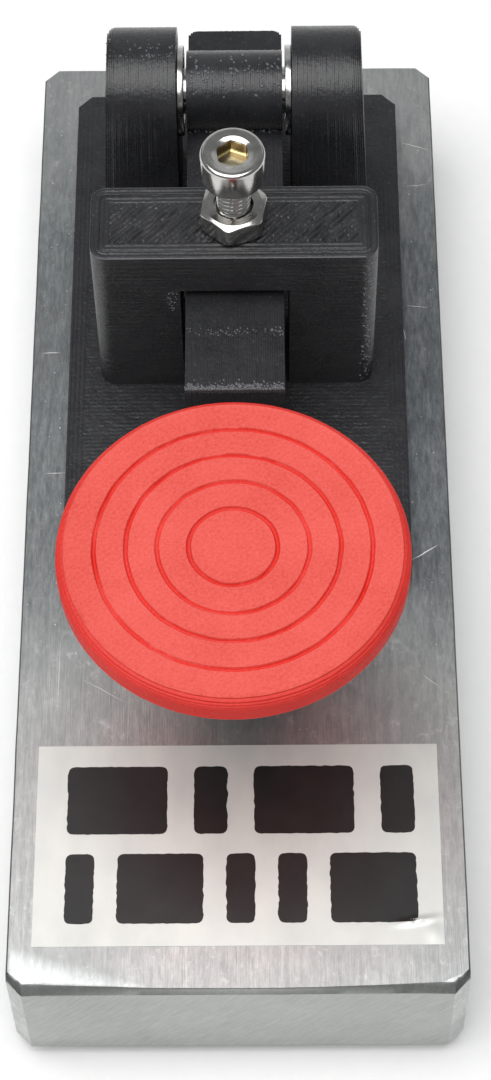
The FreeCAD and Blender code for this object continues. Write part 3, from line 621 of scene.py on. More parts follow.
def label_foil():
    """Silver sticker stock: satin, slightly warm, with shallow ripples from the glue."""
    recipe = Recipe("label_foil", metallic=0.4, specular=0.55)
    ripple = recipe.noise(0.35, stretch=(1.0, 0.6, 1.0), detail=3)
    fibre = recipe.noise(7.0, detail=2)
    recipe.colour(recipe.colours(ripple, [(0.3, (0.655, 0.675, 0.645)), (0.7, (0.745, 0.755, 0.715))]))
    recipe.roughness(recipe.spread(fibre, 0.3, 0.7, 0.44, 0.54))
    recipe.bump([(ripple, 0.020), (fibre, 0.003)])
    return recipe.material


def label_ink():
    """Dense black ink, glossier where it lies thick."""
    recipe = Recipe("label_ink", ior=1.48)
    thick = recipe.noise(0.5, detail=3)
    dots = recipe.noise(6.0, detail=2)
    recipe.colour(recipe.colours(thick, [(0.3, (0.010, 0.0105, 0.0105)), (0.7, (0.016, 0.0165, 0.016))]))
    recipe.roughness(recipe.spread(dots, 0.3, 0.7, 0.30, 0.40))
    recipe.bump([(thick, 0.010), (dots, 0.004)])
    return recipe.material


# ------------------------------------------------------------- aluminium bar

def build_bar(material):
    low, high = corners_of("aluminium_bar")
    half = high.x
    corner, bevel, broken = 1.3, 0.6, 0.15

    def ring(z, inset, side=0.0, filed=0.0):
        """One level of the bar, pulled in by inset at the ends and by side along the long edges."""
        points = []
        for x, y in box_outline(low, high, corner, 1.2, 4, chamfer=True):
            x *= (half - side) / half
            y *= (high.y - inset) / high.y
            if filed and y < 0 and abs(y - (low.y + inset)) < 0.4:
                y += filed * ((x / half) ** 2 - 0.45)
            waver = 0.05 * smooth_noise(x, y, z, 6.0, 1) + 0.02 * smooth_noise(x, y, z, 1.3, 2)
            if 0 < inset:
                x -= 0.5 * waver * math.copysign(1, x) if abs(x) > half - 1 else 0
                y -= waver * math.copysign(1, y) if abs(y) > high.y - 1 else 0
            points.append((x, y, z))
        return points

    rings = [
        ring(low.z, bevel, broken), ring(low.z + 0.05, bevel - 0.08, 0.08), ring(low.z + broken, 0.45, 0.01),
        ring(low.z + bevel, 0.03), ring(low.z + bevel + 0.1, 0.0), ring(low.z + 3.5, 0.0),
        ring(low.z + 8.5, 0.0), ring(high.z - bevel - 0.1, 0.0), ring(high.z - bevel, 0.03, 0.0, 0.1),
        ring(high.z - broken, 0.45, 0.01, 0.45), ring(high.z - 0.06, bevel - 0.08, 0.08, 0.55),
        ring(high.z, bevel, broken, 0.6),
    ]
    bar = make_piece("bar_stock", loft(rings), material, "frame", "bar_aluminium", ["aluminium_bar"], 28)
    sinks = []
    for x, y in SCREW_SPOTS:
        sinks.append(lathe([(0, low.z - 0.5), (3.2, low.z - 0.5), (3.15, low.z), (1.7, low.z + 1.8),
                            (1.7, low.z + 4), (0, low.z + 4)], (x, y), 48))
    return drill(bar, sinks)


def scratch(points, width, z):
    """A thin bright nick: a tapered sliver that stands a hair above the bar."""
    edge = []
    for side in (1, -1):
        row = []
        for i, (x, y) in enumerate(points):
            nearby = points[min(i + 1, len(points) - 1)], points[max(i - 1, 0)]
            dx, dy = nearby[0][0] - nearby[1][0], nearby[0][1] - nearby[1][1]
            length = math.hypot(dx, dy)
            share = i / (len(points) - 1)
            thick = width * math.sin(math.pi * min(max(share, 0.03), 0.97)) * side
            row.append((x - dy / length * thick, y + dx / length * thick, z))
        edge.append(row)
    count = len(points)
    faces = [(i, i + 1, count + i + 1, count + i) for i in range(count - 1)]
    return edge[0] + edge[1], faces


def build_scratches(material):
    _, high = corners_of("aluminium_bar")
    marks = (
        ((-18.2, 14.4), (-16.5, 14.38), 0.06), ((-17.5, 1.16), (-15.6, 1.14), 0.04),
        ((15.9, 39.0), (18.7, 38.1), 0.05), ((15.5, -8.3), (17.9, -6.75), 0.07),
        ((15.8, 19.5), (17.9, 19.2), 0.03), ((15.5, 17.0), (15.75, 15.5), 0.03),
        ((-15.5, -16.1), (-15.55, -23.1), 0.025), ((-13.4, -20.1), (-9.6, -22.4), 0.03),
        ((16.2, 33.6), (18.4, 33.9), 0.03), ((16.0, -19.8), (17.6, -21.2), 0.03),
    )
    nicks = []
    for begin, end, width in marks:
        path = []
        for i in range(9):
            x, y = between(begin, end, i / 8)
            path.append((x, y + 0.06 * smooth_noise(x, y, 0, 0.7, 5)))
        nicks.append(scratch(path, width, high.z + 0.006))
    source, nick_count = random.Random(63), 190
    while len(nicks) < nick_count:
        x, y = source.uniform(-18.6, 18.6), source.triangular(-47.5, 48.0, 36.0)
        on_margin = abs(x) > 15.7 or y < -47.0 or -26.5 < y < -13.5
        if on_margin:
            nicks.append(speck((x, y, high.z), (0, 0, 1), source.uniform(0.015, 0.05),
                               source.uniform(0.8, 2.2)))
    return make_piece("bar_nicks", join(*nicks), material, "frame", "bar_aluminium")


def build_feet(material):
    _, high = corners_of("rubber_feet")
    radius = 4.5
    feet = []
    for side in (-1, 1):
        for end in (-1, 1):
            profile = [(0, 0.0)]
            for i in range(9):
                turn = math.radians(90 * i / 8)
                profile.append((radius - 0.5 + 0.5 * math.sin(turn), 0.5 - 0.5 * math.cos(turn)))
            profile += [(radius, high.z - 0.1), (radius - 0.1, high.z), (0, high.z)]
            feet.append(lathe(profile, (side * (high.x - radius), end * (high.y - radius)), 64))
    return make_piece("bumper_feet", join(*feet), material, "frame", "foot_rubber", ["rubber_feet"], 50)


# ------------------------------------------------------------- printed pieces

def build_plate(material):
    low, high = corners_of("base_plate_print")
    corner, bevel, lines, overlap = 1.3, 0.3, 3, 0.05

    def outline(z):
        inset = max(0.0, z - (high.z - bevel))
        return box_outline(low, high, corner, 0.8, 4, chamfer=True, inset=inset)

    def inner(inset):
        return box_outline(low, high, corner, 0.8, 4, chamfer=True, inset=bevel + inset)

    rings = layered_rings(outline, low.z, high.z, upright, 11)
    rings += perimeter_rings(inner, high.z, lines)
    walls = loft(rings, cap_end=False)
    edge = bevel + lines * LINE_PITCH - overlap

    def height(x, y):
        waver = 0.05 * smooth_noise(x, y, 0, 3.0, 4)
        pit = max(0.0, smooth_noise(x, y, 1, 0.35, 6) - 0.35) * 0.05
        uneven = 0.016 * (1 + smooth_noise(x, y, 0, 0.55, 5))
        return high.z - 0.004 + 0.45 * line_profile(y + waver) - pit - uneven

    rows = round((high.y - low.y - 2 * edge) / (LINE_PITCH / 5))
    top = patch((low.x + edge, low.y + edge), (high.x - edge, high.y - edge), 130, rows, height)
    return make_piece("plate_shell", join(walls, top), material, "frame", "black_print",
                      ["base_plate_print"], 60)


def tombstone(inset=0.0):
    """Side outline of a bearing post: straight legs under a half-round crown."""
    y, z = PIVOT
    radius = POST_CROWN_RADIUS - inset
    points = [(y - radius + 2 * radius * i / 10, PLATE_TOP) for i in range(10)]
    points += [(y + radius, PLATE_TOP + (z - PLATE_TOP) * i / 22) for i in range(22)]
    points += [on_circle(PIVOT, radius, math.pi * i / 56) for i in range(56)]
    points += [(y - radius, z - (z - PLATE_TOP) * i / 22) for i in range(22)]
    return points


def circle_like(outline, radius):
    """Circle round the pivot with one point for each point of an outline."""
    y, z = PIVOT
    points = []
    for u, v in outline:
        reach = math.hypot(u - y, v - z)
        points.append((y + (u - y) / reach * radius, z + (v - z) / reach * radius))
    return points


def build_post(name, node, side, material):
    inner, foot, crown, rounding = POST_INNER, 12.4, 11.3, 0.9
    low, high = PLATE_TOP, PIVOT[1] + POST_CROWN_RADIUS
    seat, relief = (3.5, 7.07), (2.3, 9.1)

    def lean(z):
        return foot + (crown - foot) * (z - low) / (high - low)

    def place(y, z, share):
        depth = inner + share * (lean(z) - inner)
        return (side * depth, y, z)

    def outline(share):
        to_face = (1 - share) * (foot - inner)
        if to_face >= rounding:
            return tombstone()
        reach = rounding - to_face
        return tombstone(rounding - math.sqrt(rounding ** 2 - reach ** 2))

    plain = tombstone()
    rings = []
    for radius, x in ((relief[0], relief[1]), (relief[0], seat[1]), (seat[0], seat[1]), (seat[0], inner)):
        rings.append([(side * x, y, z) for y, z in circle_like(plain, radius)])
    rings.append([(side * inner, y, z) for y, z in tombstone(0.04)])
    count = round((foot - inner) / LAYER)
    rings += layered_rings(outline, 0.0, 1.0, place, 21 + side, 0.008, 1.0 / count, 0.010)
    post = loft(rings)
    return make_piece(name, post, material, "frame", "black_print", [node], 60)


def build_bridge(material, pale):
    low, high = corners_of("gap_bridge")
    corner, window, roof, lines = BRIDGE_CORNER, 4.75, 31.1, 4

    def beam(_):
        return box_outline(low, high, corner, 0.55, 7)

    def crown(inset):
        return box_outline(low, high, corner, 0.55, 7, inset=0.05 + inset)

    rings = layered_rings(beam, roof, high.z, upright, 31, 0.014)
    rings += perimeter_rings(crown, high.z, lines, 2.2)
    edge = lines * LINE_PITCH

    def height(x, y):
        waver = 0.11 * smooth_noise(x, y, 0, 1.3, 8)
        pit = max(0.0, smooth_noise(x, y, 1, 0.32, 7) - 0.2) * 0.10
        slant = (x - y) / math.sqrt(2) + waver
        along = (x + y) / math.sqrt(2)
        share = 2 * abs(slant / LINE_PITCH - math.floor(slant / LINE_PITCH) - 0.5)
        lumpy = 0.9 + 0.9 * smooth_noise(round(slant / LINE_PITCH) * 3.1, along, 2, 1.4, 13)
        return high.z - 0.006 - 0.13 * max(lumpy, 0.2) * share ** 1.6 - pit

    fill = patch((low.x + edge, low.y + edge), (high.x - edge, high.y - edge), 400, 92, height)
    shapes = [loft(rings, cap_end=False), fill]
    for side in (-1, 1):

        def leg(_):
            points = []
            for x, y in box_outline(low, high, corner, 0.55, 7):
                inner_x = side * x < window
                points.append((side * window if inner_x else x, y))
            return [p for i, p in enumerate(points) if i == 0 or p != points[i - 1]]

        walls = layered_rings(leg, low.z, roof + 0.02, upright, 33 + side, 0.014)
        shapes.append(loft(walls))
    make_piece("bridge_shell", join(*shapes), material, "frame", "black_print", ["gap_bridge"], 60)
    threads = join(bead(crown, 0.03, high.z - 0.06, 0.07), bead(crown, 0.70, high.z - 0.03, 0.09))
    make_piece("bridge_threads", threads, material, "frame", "black_print", sharp=80)

    def lip(inset):
        """The front edge of the crown's outline, from left to right."""
        return sorted((x, y) for x, y in crown(inset) if y < low.y + 0.5 and abs(x) < 11.9)

    # Painted highlight: a pale grey bead along the bridge's front top edge stands in for the bright line of
    # light on that edge.
    steps = []
    for i in range(8):
        turn = math.radians(45 * i)
        line = lip(-0.05 + 0.06 * math.cos(turn))
        steps.append([(x, y, high.z - 0.04 + 0.06 * math.sin(turn)) for x, y in line])
    steps = [list(ring) for ring in zip(*steps)]
    make_piece("bridge_lip_highlight", loft(steps), pale, "frame", "black_print", sharp=80)


def build_lever(material):
    low, high = corners_of("lever_arm")
    half, base, tail_base, top, shelf = HUB_HALF, low.z, 25.0, ARM_TOP, 27.0
    nose, tail_round, blend = 4.0, 0.9, 0.4
    hub_half = math.sqrt(HUB_RADIUS ** 2 - (PIVOT[1] - top) ** 2)
    hub_turn = math.asin((top - PIVOT[1]) / HUB_RADIUS)

    def corner_inset(x, radius):
        past = abs(x) - (half - radius)
        return 0.0 if past <= 0 else radius - math.sqrt(max(radius ** 2 - past ** 2, 0.0))

    def run(points, begin, end, count):
        points.extend(between(begin, end, i / count) for i in range(count))

    def outline(x):
        front = low.y + corner_inset(x, nose)
        rear = high.y - corner_inset(x, tail_round)
        points = []
        run(points, (front, base), (PIVOT[0] - 6, base), 70)
        run(points, (PIVOT[0] - 6, base), (PIVOT[0] - 3.5, tail_base), 6)
        run(points, (PIVOT[0] - 3.5, tail_base), (rear, tail_base), 18)
        run(points, (rear, tail_base), (rear, top), 8)
        run(points, (rear, top), (PIVOT[0] + hub_half, top), 10)
        for i in range(36):
            points.append(on_circle(PIVOT, HUB_RADIUS, hub_turn + (math.pi - 2 * hub_turn) * i / 36))
        run(points, (PIVOT[0] - hub_half, top), (STEP_Y + blend, top), 44)
        for i in range(5):
            turn = math.radians(90 + 90 * i / 5)
            points.append(on_circle((STEP_Y + blend, top - blend), blend, turn))
        run(points, (STEP_Y, top - blend), (STEP_Y, shelf), 6)
        run(points, (STEP_Y, shelf), (front, shelf), 40)
        run(points, (front, shelf), (front, base), 8)
        return points

    rings = layered_rings(outline, low.x, high.x, sideways, 41, 0.018)
    lever = make_piece("lever_shell", loft(rings), material, "lever", "black_print", ["lever_arm"], 60)
    knob_y, contact_y = KNOB_SPOT[1], CONTACT_Y
    tools = [
        lathe([(0, 22), (3.3, 22), (3.15, base), (1.7, base + 1.8), (1.7, 28), (0, 28)], (0, knob_y), 40),
        lathe([(0, 22), (INSERT_BORE, 22), (INSERT_BORE, 28), (0, 28)], (0, contact_y), 40),
        lathe([(0, 24), (1.55, 24), (1.55, 30.5), (0, 30.5)], (0, PIVOT[0]), 32),
    ]
    return drill(lever, tools)


def build_knob(material):
    low, high = corners_of("knob")
    radius, stem, disc, rounding = high.x, 5.0, 3.2, 1.1
    grooves, groove_half, groove_depth = (3.5, 6.0, 8.46, 10.95), 0.21, 0.34
    disc_base = high.z - disc
    source = random.Random(51)

    def rim(z):
        edge = min(z - disc_base, high.z - z)
        if edge >= rounding:
            return radius
        reach = rounding - edge
        return radius - rounding + math.sqrt(rounding ** 2 - reach ** 2)

    profile = [(0.0, low.z)]
    for k in range(round((disc_base - low.z) / LAYER)):
        bottom = low.z + k * LAYER
        drift = source.uniform(0, LAYER_DRIFT)
        profile += [(stem - 0.03 * sunk - drift, bottom + share * LAYER) for share, sunk in LAYER_PROFILE]
    profile += [(r, disc_base - line_profile(r)) for r in
                [stem + 0.1 * k for k in range(1, int((radius - rounding - stem) / 0.1) - 1)]]
    for k in range(round(disc / LAYER)):
        bottom = disc_base + k * LAYER
        drift = source.uniform(0, LAYER_DRIFT)
        reach = rim(bottom + LAYER / 2)
        profile += [(reach - 0.055 * sunk - drift, bottom + share * LAYER) for share, sunk in LAYER_PROFILE]
    flat = rim(high.z - LAYER / 2) - 0.12
    marks = sorted({flat} | {flat - 0.4 * k for k in range(1, 32) if flat - 0.4 * k > 0.3}
                   | {g + d for g in grooves for d in (-0.25, -0.21, -0.1, 0.0, 0.1, 0.21, 0.25)},
                   reverse=True)
    for r in marks:
        nearest = min(abs(r - g) for g in grooves)
        sunk = 0.0
        if nearest < groove_half:
            sunk = groove_depth * (1 - (nearest / groove_half) ** 2) ** 0.7
        profile.append((r, high.z - 0.01 - sunk))
    profile.append((0.0, high.z - 0.01))
    first_top = len(profile) - len(marks) - 1

    def wobble(k, angle, r, z):
        x, y = r * math.cos(angle), r * math.sin(angle)
        dr = -0.015 * (1 + smooth_noise(x, y, z * 6, 1.0, 9))
        dz = 0.0
        if k >= first_top:
            dr = 0.05 * smooth_noise(x, y, 3.0, 1.6, 10)
            dz = -0.012 * (1 + smooth_noise(x, y, 5.0, 1.2, 11))
            nearest = min(grooves, key=lambda g: abs(r - g))
            if abs(r - nearest) < groove_half:
                dz += 0.20 * (0.5 + smooth_noise(math.cos(angle) * nearest, math.sin(angle) * nearest,
                                                 nearest, 3.0, 12)) * (1 - abs(r - nearest) / groove_half)
        elif r < 0.01:
            dr = 0.0
        return dr, min(dz, 0.0) if k < first_top else dz

    shape = lathe(profile, KNOB_SPOT, 224, wobble)
    knob = make_piece("knob_shell", shape, material, "lever", "red_print", ["knob"], 60)
    bore = lathe([(0, 26), (INSERT_BORE, 26), (INSERT_BORE, 34), (0, 34)], KNOB_SPOT, 40)
    return drill(knob, [bore])


# ------------------------------------------------------------------ fasteners

def hexagon_reach(angle, flats, corner=90):
    """Distance from a hexagon's centre to its edge; a corner lies at the given angle in degrees."""
    sector = math.radians(60)
    local = (angle - math.radians(corner)) % sector - sector / 2
    return flats / 2 / math.cos(local)


def build_gap_screw(material):
    low, high = corners_of("gap_screw")
    centre = middle_of("gap_screw")
    head, shank, head_height, pitch = 2.75, 1.45, 3.0, 0.5
    socket, socket_depth, steps = 2.5, 1.5, 72
    under = high.z - head_height
    rings = []

    def ring(radius, z, hexed=0.0):
        points = []
        for angle in turns(steps):
            reach = radius
            if hexed:
                reach = radius + (hexagon_reach(angle, socket, 97) - radius) * hexed
            points.append((*on_circle(centre, reach, angle), z))
        return points

    rings.append(ring(shank - 0.5, low.z))
    rings.append(ring(shank - 0.12, low.z + 0.25))
    thread_top = under - 1.2
    count = int((thread_top - low.z - 0.3) / (pitch / 8))
    for k in range(count):
        z = low.z + 0.3 + k * pitch / 8
        points = []
        for i, angle in enumerate(turns(steps)):
            phase = (z / pitch - i / steps) % 1.0
            flank = abs(2 * phase - 1)
            depth = 0.17 * min(max((flank - 0.12) / 0.76, 0.0), 1.0)
            fade = min(1.0, (thread_top - z) / 0.4)
            points.append((*on_circle(centre, shank - depth * fade, angle), z))
        rings.append(points)
    rings += [ring(shank, thread_top), ring(shank, under - 0.12), ring(shank + 0.12, under)]
    for i in range(5):
        turn = math.radians(22.5 * i)
        rings.append(ring(head - 0.15 + 0.15 * math.sin(turn), under + 0.15 - 0.15 * math.cos(turn)))
    rings.append(ring(head, under + 1.3))
    rim = 0.36
    for i in range(7):
        turn = math.radians(15 * i)
        rings.append(ring(head - rim + rim * math.cos(turn), high.z - rim + rim * math.sin(turn)))
    # The chamfered mouth, the hexagon socket and its floor: radius, depth, share of hexagon.
    for radius, sunk, hexed in (
        (2.10, 0.03, 0), (1.80, 0.05, 0), (1.71, 0.06, 0), (1.66, 0.09, 0), (1.46, 0.19, 0.8),
        (1.40, 0.24, 1), (1.36, 0.32, 1), (1.36, socket_depth, 1), (1.30, socket_depth + 0.02, 1),
        (0.9, socket_depth + 0.05, 0), (0.02, socket_depth + 0.10, 0),
    ):
        rings.append(ring(radius, high.z - sunk, hexed))
    return make_piece("gap_screw_turned", loft(rings), material, "gap_screw", "steel", ["gap_screw"], 30)


def nut_shape(centre, low, high, flats, bore, corner):
    """Hexagon nut, chamfered on both faces, with a short thread run-in. corner is the angle of one corner."""
    steps, chamfer_from, slope = 96, 2.42, math.tan(math.radians(26))
    rings = []

    def ring(reach_of, z_of):
        points = []
        for angle in turns(steps):
            reach = reach_of(angle)
            points.append((*on_circle(centre, reach, angle), z_of(reach)))
        return points

    def edge(angle):
        return min(hexagon_reach(angle, flats, corner), 3.0)

    def drop(reach):
        return max(0.0, reach - chamfer_from) * slope

    for radius, rise in ((bore, 0.25), (bore + 0.22, 0.0), (2.0, 0.0), (chamfer_from, 0.0)):
        rings.append(ring(lambda _, r=radius: r, lambda _, d=rise: low + d))
    rings.append(ring(lambda a: edge(a) - 0.05, lambda r: low + drop(r)))
    rings.append(ring(edge, lambda r: low + drop(r) + 0.06))
    rings.append(ring(edge, lambda r: high - drop(r) - 0.06))
    rings.append(ring(lambda a: edge(a) - 0.05, lambda r: high - drop(r)))
    for radius, rise in ((chamfer_from, 0.0), (2.0, 0.0), (bore + 0.22, 0.0), (bore, 0.25)):
        rings.append(ring(lambda _, r=radius: r, lambda _, d=rise: high - d))
    rings.append(rings[0])
    return loft(rings, cap_start=False, cap_end=False)


def build_nut(name, node, body, material, corner=90):
    low, high = corners_of(node)
    centre = middle_of(node)
    nut_low = low.z + 0.02 if high.z - low.z > 2.41 else low.z
    shape = nut_shape(centre, nut_low, nut_low + 2.4, 5.38, 1.5, corner)
    return make_piece(name, shape, material, body, "steel", [node], 20)


# --------------------------------------------------------- hinge and small blobs

def build_spring(material):
    """The open coil under the lever (the real spring flattens as the lever is pressed)."""
    low, high = corners_of("return_spring")
    centre_x, centre_y = (low.x + high.x) / 2, (low.y + high.y) / 2
    wire, coils, steps, sides = 0.25, 6, 48, 12
    radius = (high.x - low.x) / 2 - wire
    bottom, top = low.z + wire, high.z - wire
    rise = (top - bottom) / (2 * math.pi * coils)
    rings = []
    for k in range(coils * steps + 1):
        angle = 2 * math.pi * k / steps
        out = Vector((math.cos(angle), math.sin(angle), 0.0))
        forward = Vector((-radius * math.sin(angle), radius * math.cos(angle), rise)).normalized()
        lift = out.cross(forward)
        middle = Vector((centre_x, centre_y, bottom + rise * angle)) + out * radius
        rings.append([tuple(middle + out * (wire * math.cos(turn)) + lift * (wire * math.sin(turn)))
                      for turn in turns(sides)])
    spring = make_piece("spring_coil", loft(rings), material, "frame", "steel", ["return_spring"], 50)
    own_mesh(spring)


def build_hinge(material):
    """Flanged outer rings of the bearings, their inner rings and the spacers."""
    flange, outer, race, inner, shaft, edge = 4.05, 3.5, 3.0, 2.1, 1.5, 0.10
    face, back, post = BEARING_FACE, BEARING_FACE + 2.5, POST_INNER
    flanged = [
        (face, race), (face, flange - edge), (face + 0.3 * edge, flange - 0.3 * edge), (face + edge, flange),
        (post - edge, flange), (post, flange - edge), (post, outer), (back - edge, outer),
        (back, outer - edge), (back, race),
    ]

    def sleeve(start, stop):
        return [(start, shaft), (start, inner), (stop, inner), (stop, shaft)]

    for name, section, body, slot, node in (
        ("bearing_outer_shell", flanged, "frame", "bearing_steel", "bearing_outer_rings"),
        ("bearing_inner_shell", sleeve(face, back), "lever", "bearing_steel", "bearing_inner_rings"),
        ("spacer_shell", sleeve(HUB_HALF, face), "lever", "steel", "pivot_spacers"),
    ):
        pair = [turned_on_hinge(section, side) for side in (-1, 1)]
        make_piece(name, join(*pair), material, body, slot, [node], 25)


def build_jack(plastic_finish, metal_finish):
    """Moulded socket body with its threaded metal mouth."""
    low, high = corners_of("jack_housing")
    mouth, tip = corners_of("jack_bush")
    centre_z, rounding = (low.z + high.z) / 2, 0.45

    def circle(y, radius):
        points = [on_circle((0.0, centre_z), radius, angle) for angle in turns(64)]
        return [(x, y, z) for x, z in points]

    rings = [[(x, y, low.z) for x, y in box_outline(low, high, rounding, 0.8, 8)]]
    for i in range(9):
        turn = math.radians(11.25 * i)
        inset = rounding * (1 - math.cos(turn))
        z = high.z - rounding + rounding * math.sin(turn)
        rings.append([(x, y, z) for x, y in box_outline(low, high, rounding, 0.8, 8, inset=inset)])
    body = make_piece("jack_body", loft(rings), plastic_finish, "frame", "jack_plastic", ["jack_housing"], 35)
    seat = loft([circle(mouth.y, 2.39), circle(high.y + 1, 2.39)])
    drill(body, [seat, loft([circle(low.y + 1, 1.8), circle(mouth.y + 0.1, 1.8)])])

    inner, outer, pitch, length = 1.8, 2.4, 0.5, tip.y - high.y
    section = [(mouth.y, inner), (mouth.y, outer - 0.02), (high.y, outer - 0.02)]
    section += [(high.y + 0.05 + k * pitch / 4, outer - (0.0, 0.06, 0.14, 0.06)[k % 4])
                for k in range(round(length / pitch * 4) - 2)]
    section += [(tip.y - 0.10, outer - 0.16), (tip.y, outer - 0.22), (tip.y, inner + 0.14),
                (tip.y - 0.12, inner)]
    rings = [circle(y, radius) for y, radius in section]
    rings.append(rings[0])
    make_piece("jack_mouth", loft(rings, cap_start=False, cap_end=False), metal_finish, "frame",
               "bearing_steel", ["jack_bush"], 30)


def scatter_on_hinge(source, count, radius, spans, sizes):
    """Blobs over a drum on the hinge line; spans are (x low, x high) and (angle low, angle high)."""
    blobs = []
    (x_low, x_high), (turn_low, turn_high) = spans
    for _ in range(count):
        turn = math.radians(source.triangular(turn_low, turn_high))
        normal = (0.0, math.cos(turn), math.sin(turn))
        centre = (source.uniform(x_low, x_high), PIVOT[0] + radius * normal[1], PIVOT[1] + radius * normal[2])
        blobs.append(speck(centre, normal, source.uniform(*sizes), source.uniform(0.8, 1.7)))
    return blobs


def build_specks(material):
    """Pale blobs of plastic on the lever's hub, crease, arm and step, the posts' crowns and the bridge; their
    pale grey paints in glints, the row across the arm is a painted reflection and the band along the step a
    painted highlight.
    """
    source = random.Random(77)
    reflection_line_y, step_highlight_y, post_drum = 5.2, -0.85, POST_CROWN_RADIUS - 0.03
    lever_blobs = scatter_on_hinge(source, 80, HUB_RADIUS - 0.03, ((-4.1, 4.1), (60, 146)), (0.07, 0.15))
    crease_y = PIVOT[0] - math.sqrt(HUB_RADIUS ** 2 - (PIVOT[1] - ARM_TOP) ** 2)
    # Pale blobs along the crease where the hub meets the arm; their pale grey is painted glints.
    for _ in range(46):
        x = source.choice((source.uniform(-4.1, -1.6), source.uniform(1.2, 3.9)))
        centre = (x, crease_y + source.uniform(-0.25, 0.12), ARM_TOP - 0.01 + source.uniform(0, 0.12))
        lever_blobs.append(speck(centre, (0, -0.4, 0.9), source.uniform(0.05, 0.13), 1.4))
    # Painted reflection: a ragged row of pale blobs across the arm's top, where the bridge's bright front
    # edge would be mirrored.
    for _ in range(60):
        x = source.uniform(-4.2, 4.2)
        centre = (x, reflection_line_y + 0.08 * math.sin(x) + source.gauss(0, 0.22), ARM_TOP - 0.02)
        lever_blobs.append(speck(centre, (0, 0, 1), source.uniform(0.04, 0.10), 1.3))
    # Painted highlight: a dense band of pale blobs along the lever's rounded step edge.
    for _ in range(240):
        x = source.uniform(-4.25, 4.25)
        centre = (x, step_highlight_y + abs(source.gauss(0, 0.34)), ARM_TOP - 0.03)
        lever_blobs.append(speck(centre, (0, -0.35, 0.94), source.uniform(0.05, 0.11), 1.6))
    make_piece("lever_specks", join(*lever_blobs), material, "lever", "black_print", sharp=80)

    frame_blobs = scatter_on_hinge(source, 22, post_drum, ((-7.6, -5.4), (78, 118)), (0.06, 0.12))
    frame_blobs += scatter_on_hinge(source, 30, post_drum, ((-11.4, -7.1), (72, 112)), (0.05, 0.11))
    bridge_corner = (11.0, BRIDGE_FRONT + BRIDGE_CORNER)
    for k in range(90):
        z = PLATE_TOP + 0.4 + k * LAYER
        turn = math.radians(-64 + source.uniform(-20, 20))
        centre = (*on_circle(bridge_corner, BRIDGE_CORNER - 0.02, turn), z + source.uniform(-0.05, 0.05))
        frame_blobs.append(speck(centre, (math.cos(turn), math.sin(turn), 0),
                                 source.uniform(0.05, 0.13), 1.5))
    for _ in range(26):
        centre = (source.uniform(-5.9, -5.0), BRIDGE_FRONT + 0.02, source.uniform(28.2, 30.9))
        frame_blobs.append(speck(centre, (0, -1, 0), source.uniform(0.04, 0.09), 1.2))
    make_piece("frame_specks", join(*frame_blobs), material, "frame", "black_print", sharp=80)


# ---------------------------------------------------------------------- label

def label_height(x, y):
    """Top of the sticker: nearly flat, with a creased corner and faint waves."""
    flat, crease, dent = 13.985, (14.9, -42.9), (16.2, -43.9)
    z = flat + 0.012 * smooth_noise(x, y, 0, 6.0, 14)
    dx, dy = x - crease[0], y - crease[1]
    z += 0.26 * math.exp(-((dx / 1.3) ** 2 + ((dy - 0.18 * dx) / 0.22) ** 2))
    z += 0.10 * math.exp(-(((x - dent[0]) / 0.6) ** 2 + ((y - dent[1]) / 0.9) ** 2))
    return z


def build_label(material, ink):
    """The sticker with its plain pattern of bars, two rows of different lengths."""
    low, high = corners_of("label")
    columns, rows = 150, 84
    top = patch((low.x, low.y), (high.x, high.y), columns, rows, label_height)
    border = [top[0][c] for c in range(columns + 1)]
    border += [top[0][(r + 1) * (columns + 1) - 1] for r in range(1, rows + 1)]
    border += [top[0][rows * (columns + 1) + c] for c in reversed(range(columns))]
    border += [top[0][r * (columns + 1)] for r in reversed(range(1, rows))]
    rings = [[(x, y, low.z + 0.002) for x, y, _ in border], border]
    sheet = join(top, loft(rings, cap_start=True, cap_end=False))
    make_piece("label_sheet", sheet, material, "frame", "label_foil", ["label"], 50)
    pattern = ((-28.6, (3, 1, 3, 1)), (-36.7, (1, 3, 1, 1, 3)))
    bar_height, left, right, gap = 6.3, -14.4, 14.9, 0.8
    marks = []
    for top_y, lengths in pattern:
        unit = (right - left) / (sum(lengths) + gap * (len(lengths) - 1))
        x = left
        for k, units in enumerate(lengths):
            marks.append(ink_mark(x, x + units * unit, top_y - bar_height, top_y, k + top_y))
            x += (units + gap) * unit
    make_piece("label_marks", join(*marks), ink, "frame", "label_foil", sharp=60)


def ink_mark(x0, x1, y0, y1, seed):
    """One printed bar with slightly ragged edges, lying on the sticker."""
    columns, rows = max(6, round((x1 - x0) / 0.3)), round((y1 - y0) / 0.25)
    points, faces = patch((x0, y0), (x1, y1), columns, rows, label_height)
    ragged = []
    radius = 0.55
    for x, y, _ in points:
        on_side = x in (x0, x1)
        on_end = y in (y0, y1)
        jagged = 0.11 * smooth_noise(x, y, seed, 0.45, 15)
        if on_side:
            x += jagged
        if on_end:
            y += 0.6 * jagged
        past_x = abs(x - (x0 + x1) / 2) - ((x1 - x0) / 2 - radius)
        past_y = abs(y - (y0 + y1) / 2) - ((y1 - y0) / 2 - radius)
        if past_x > 0 and past_y > 0:
            reach = math.hypot(past_x, past_y)
            if reach > radius:
                x -= math.copysign(past_x * (1 - radius / reach), x - (x0 + x1) / 2)
                y -= math.copysign(past_y * (1 - radius / reach), y - (y0 + y1) / 2)
        ragged.append((x, y, label_height(x, y) + 0.012))
    return ragged, faces


# --------------------------------------------------------- camera, light, floor

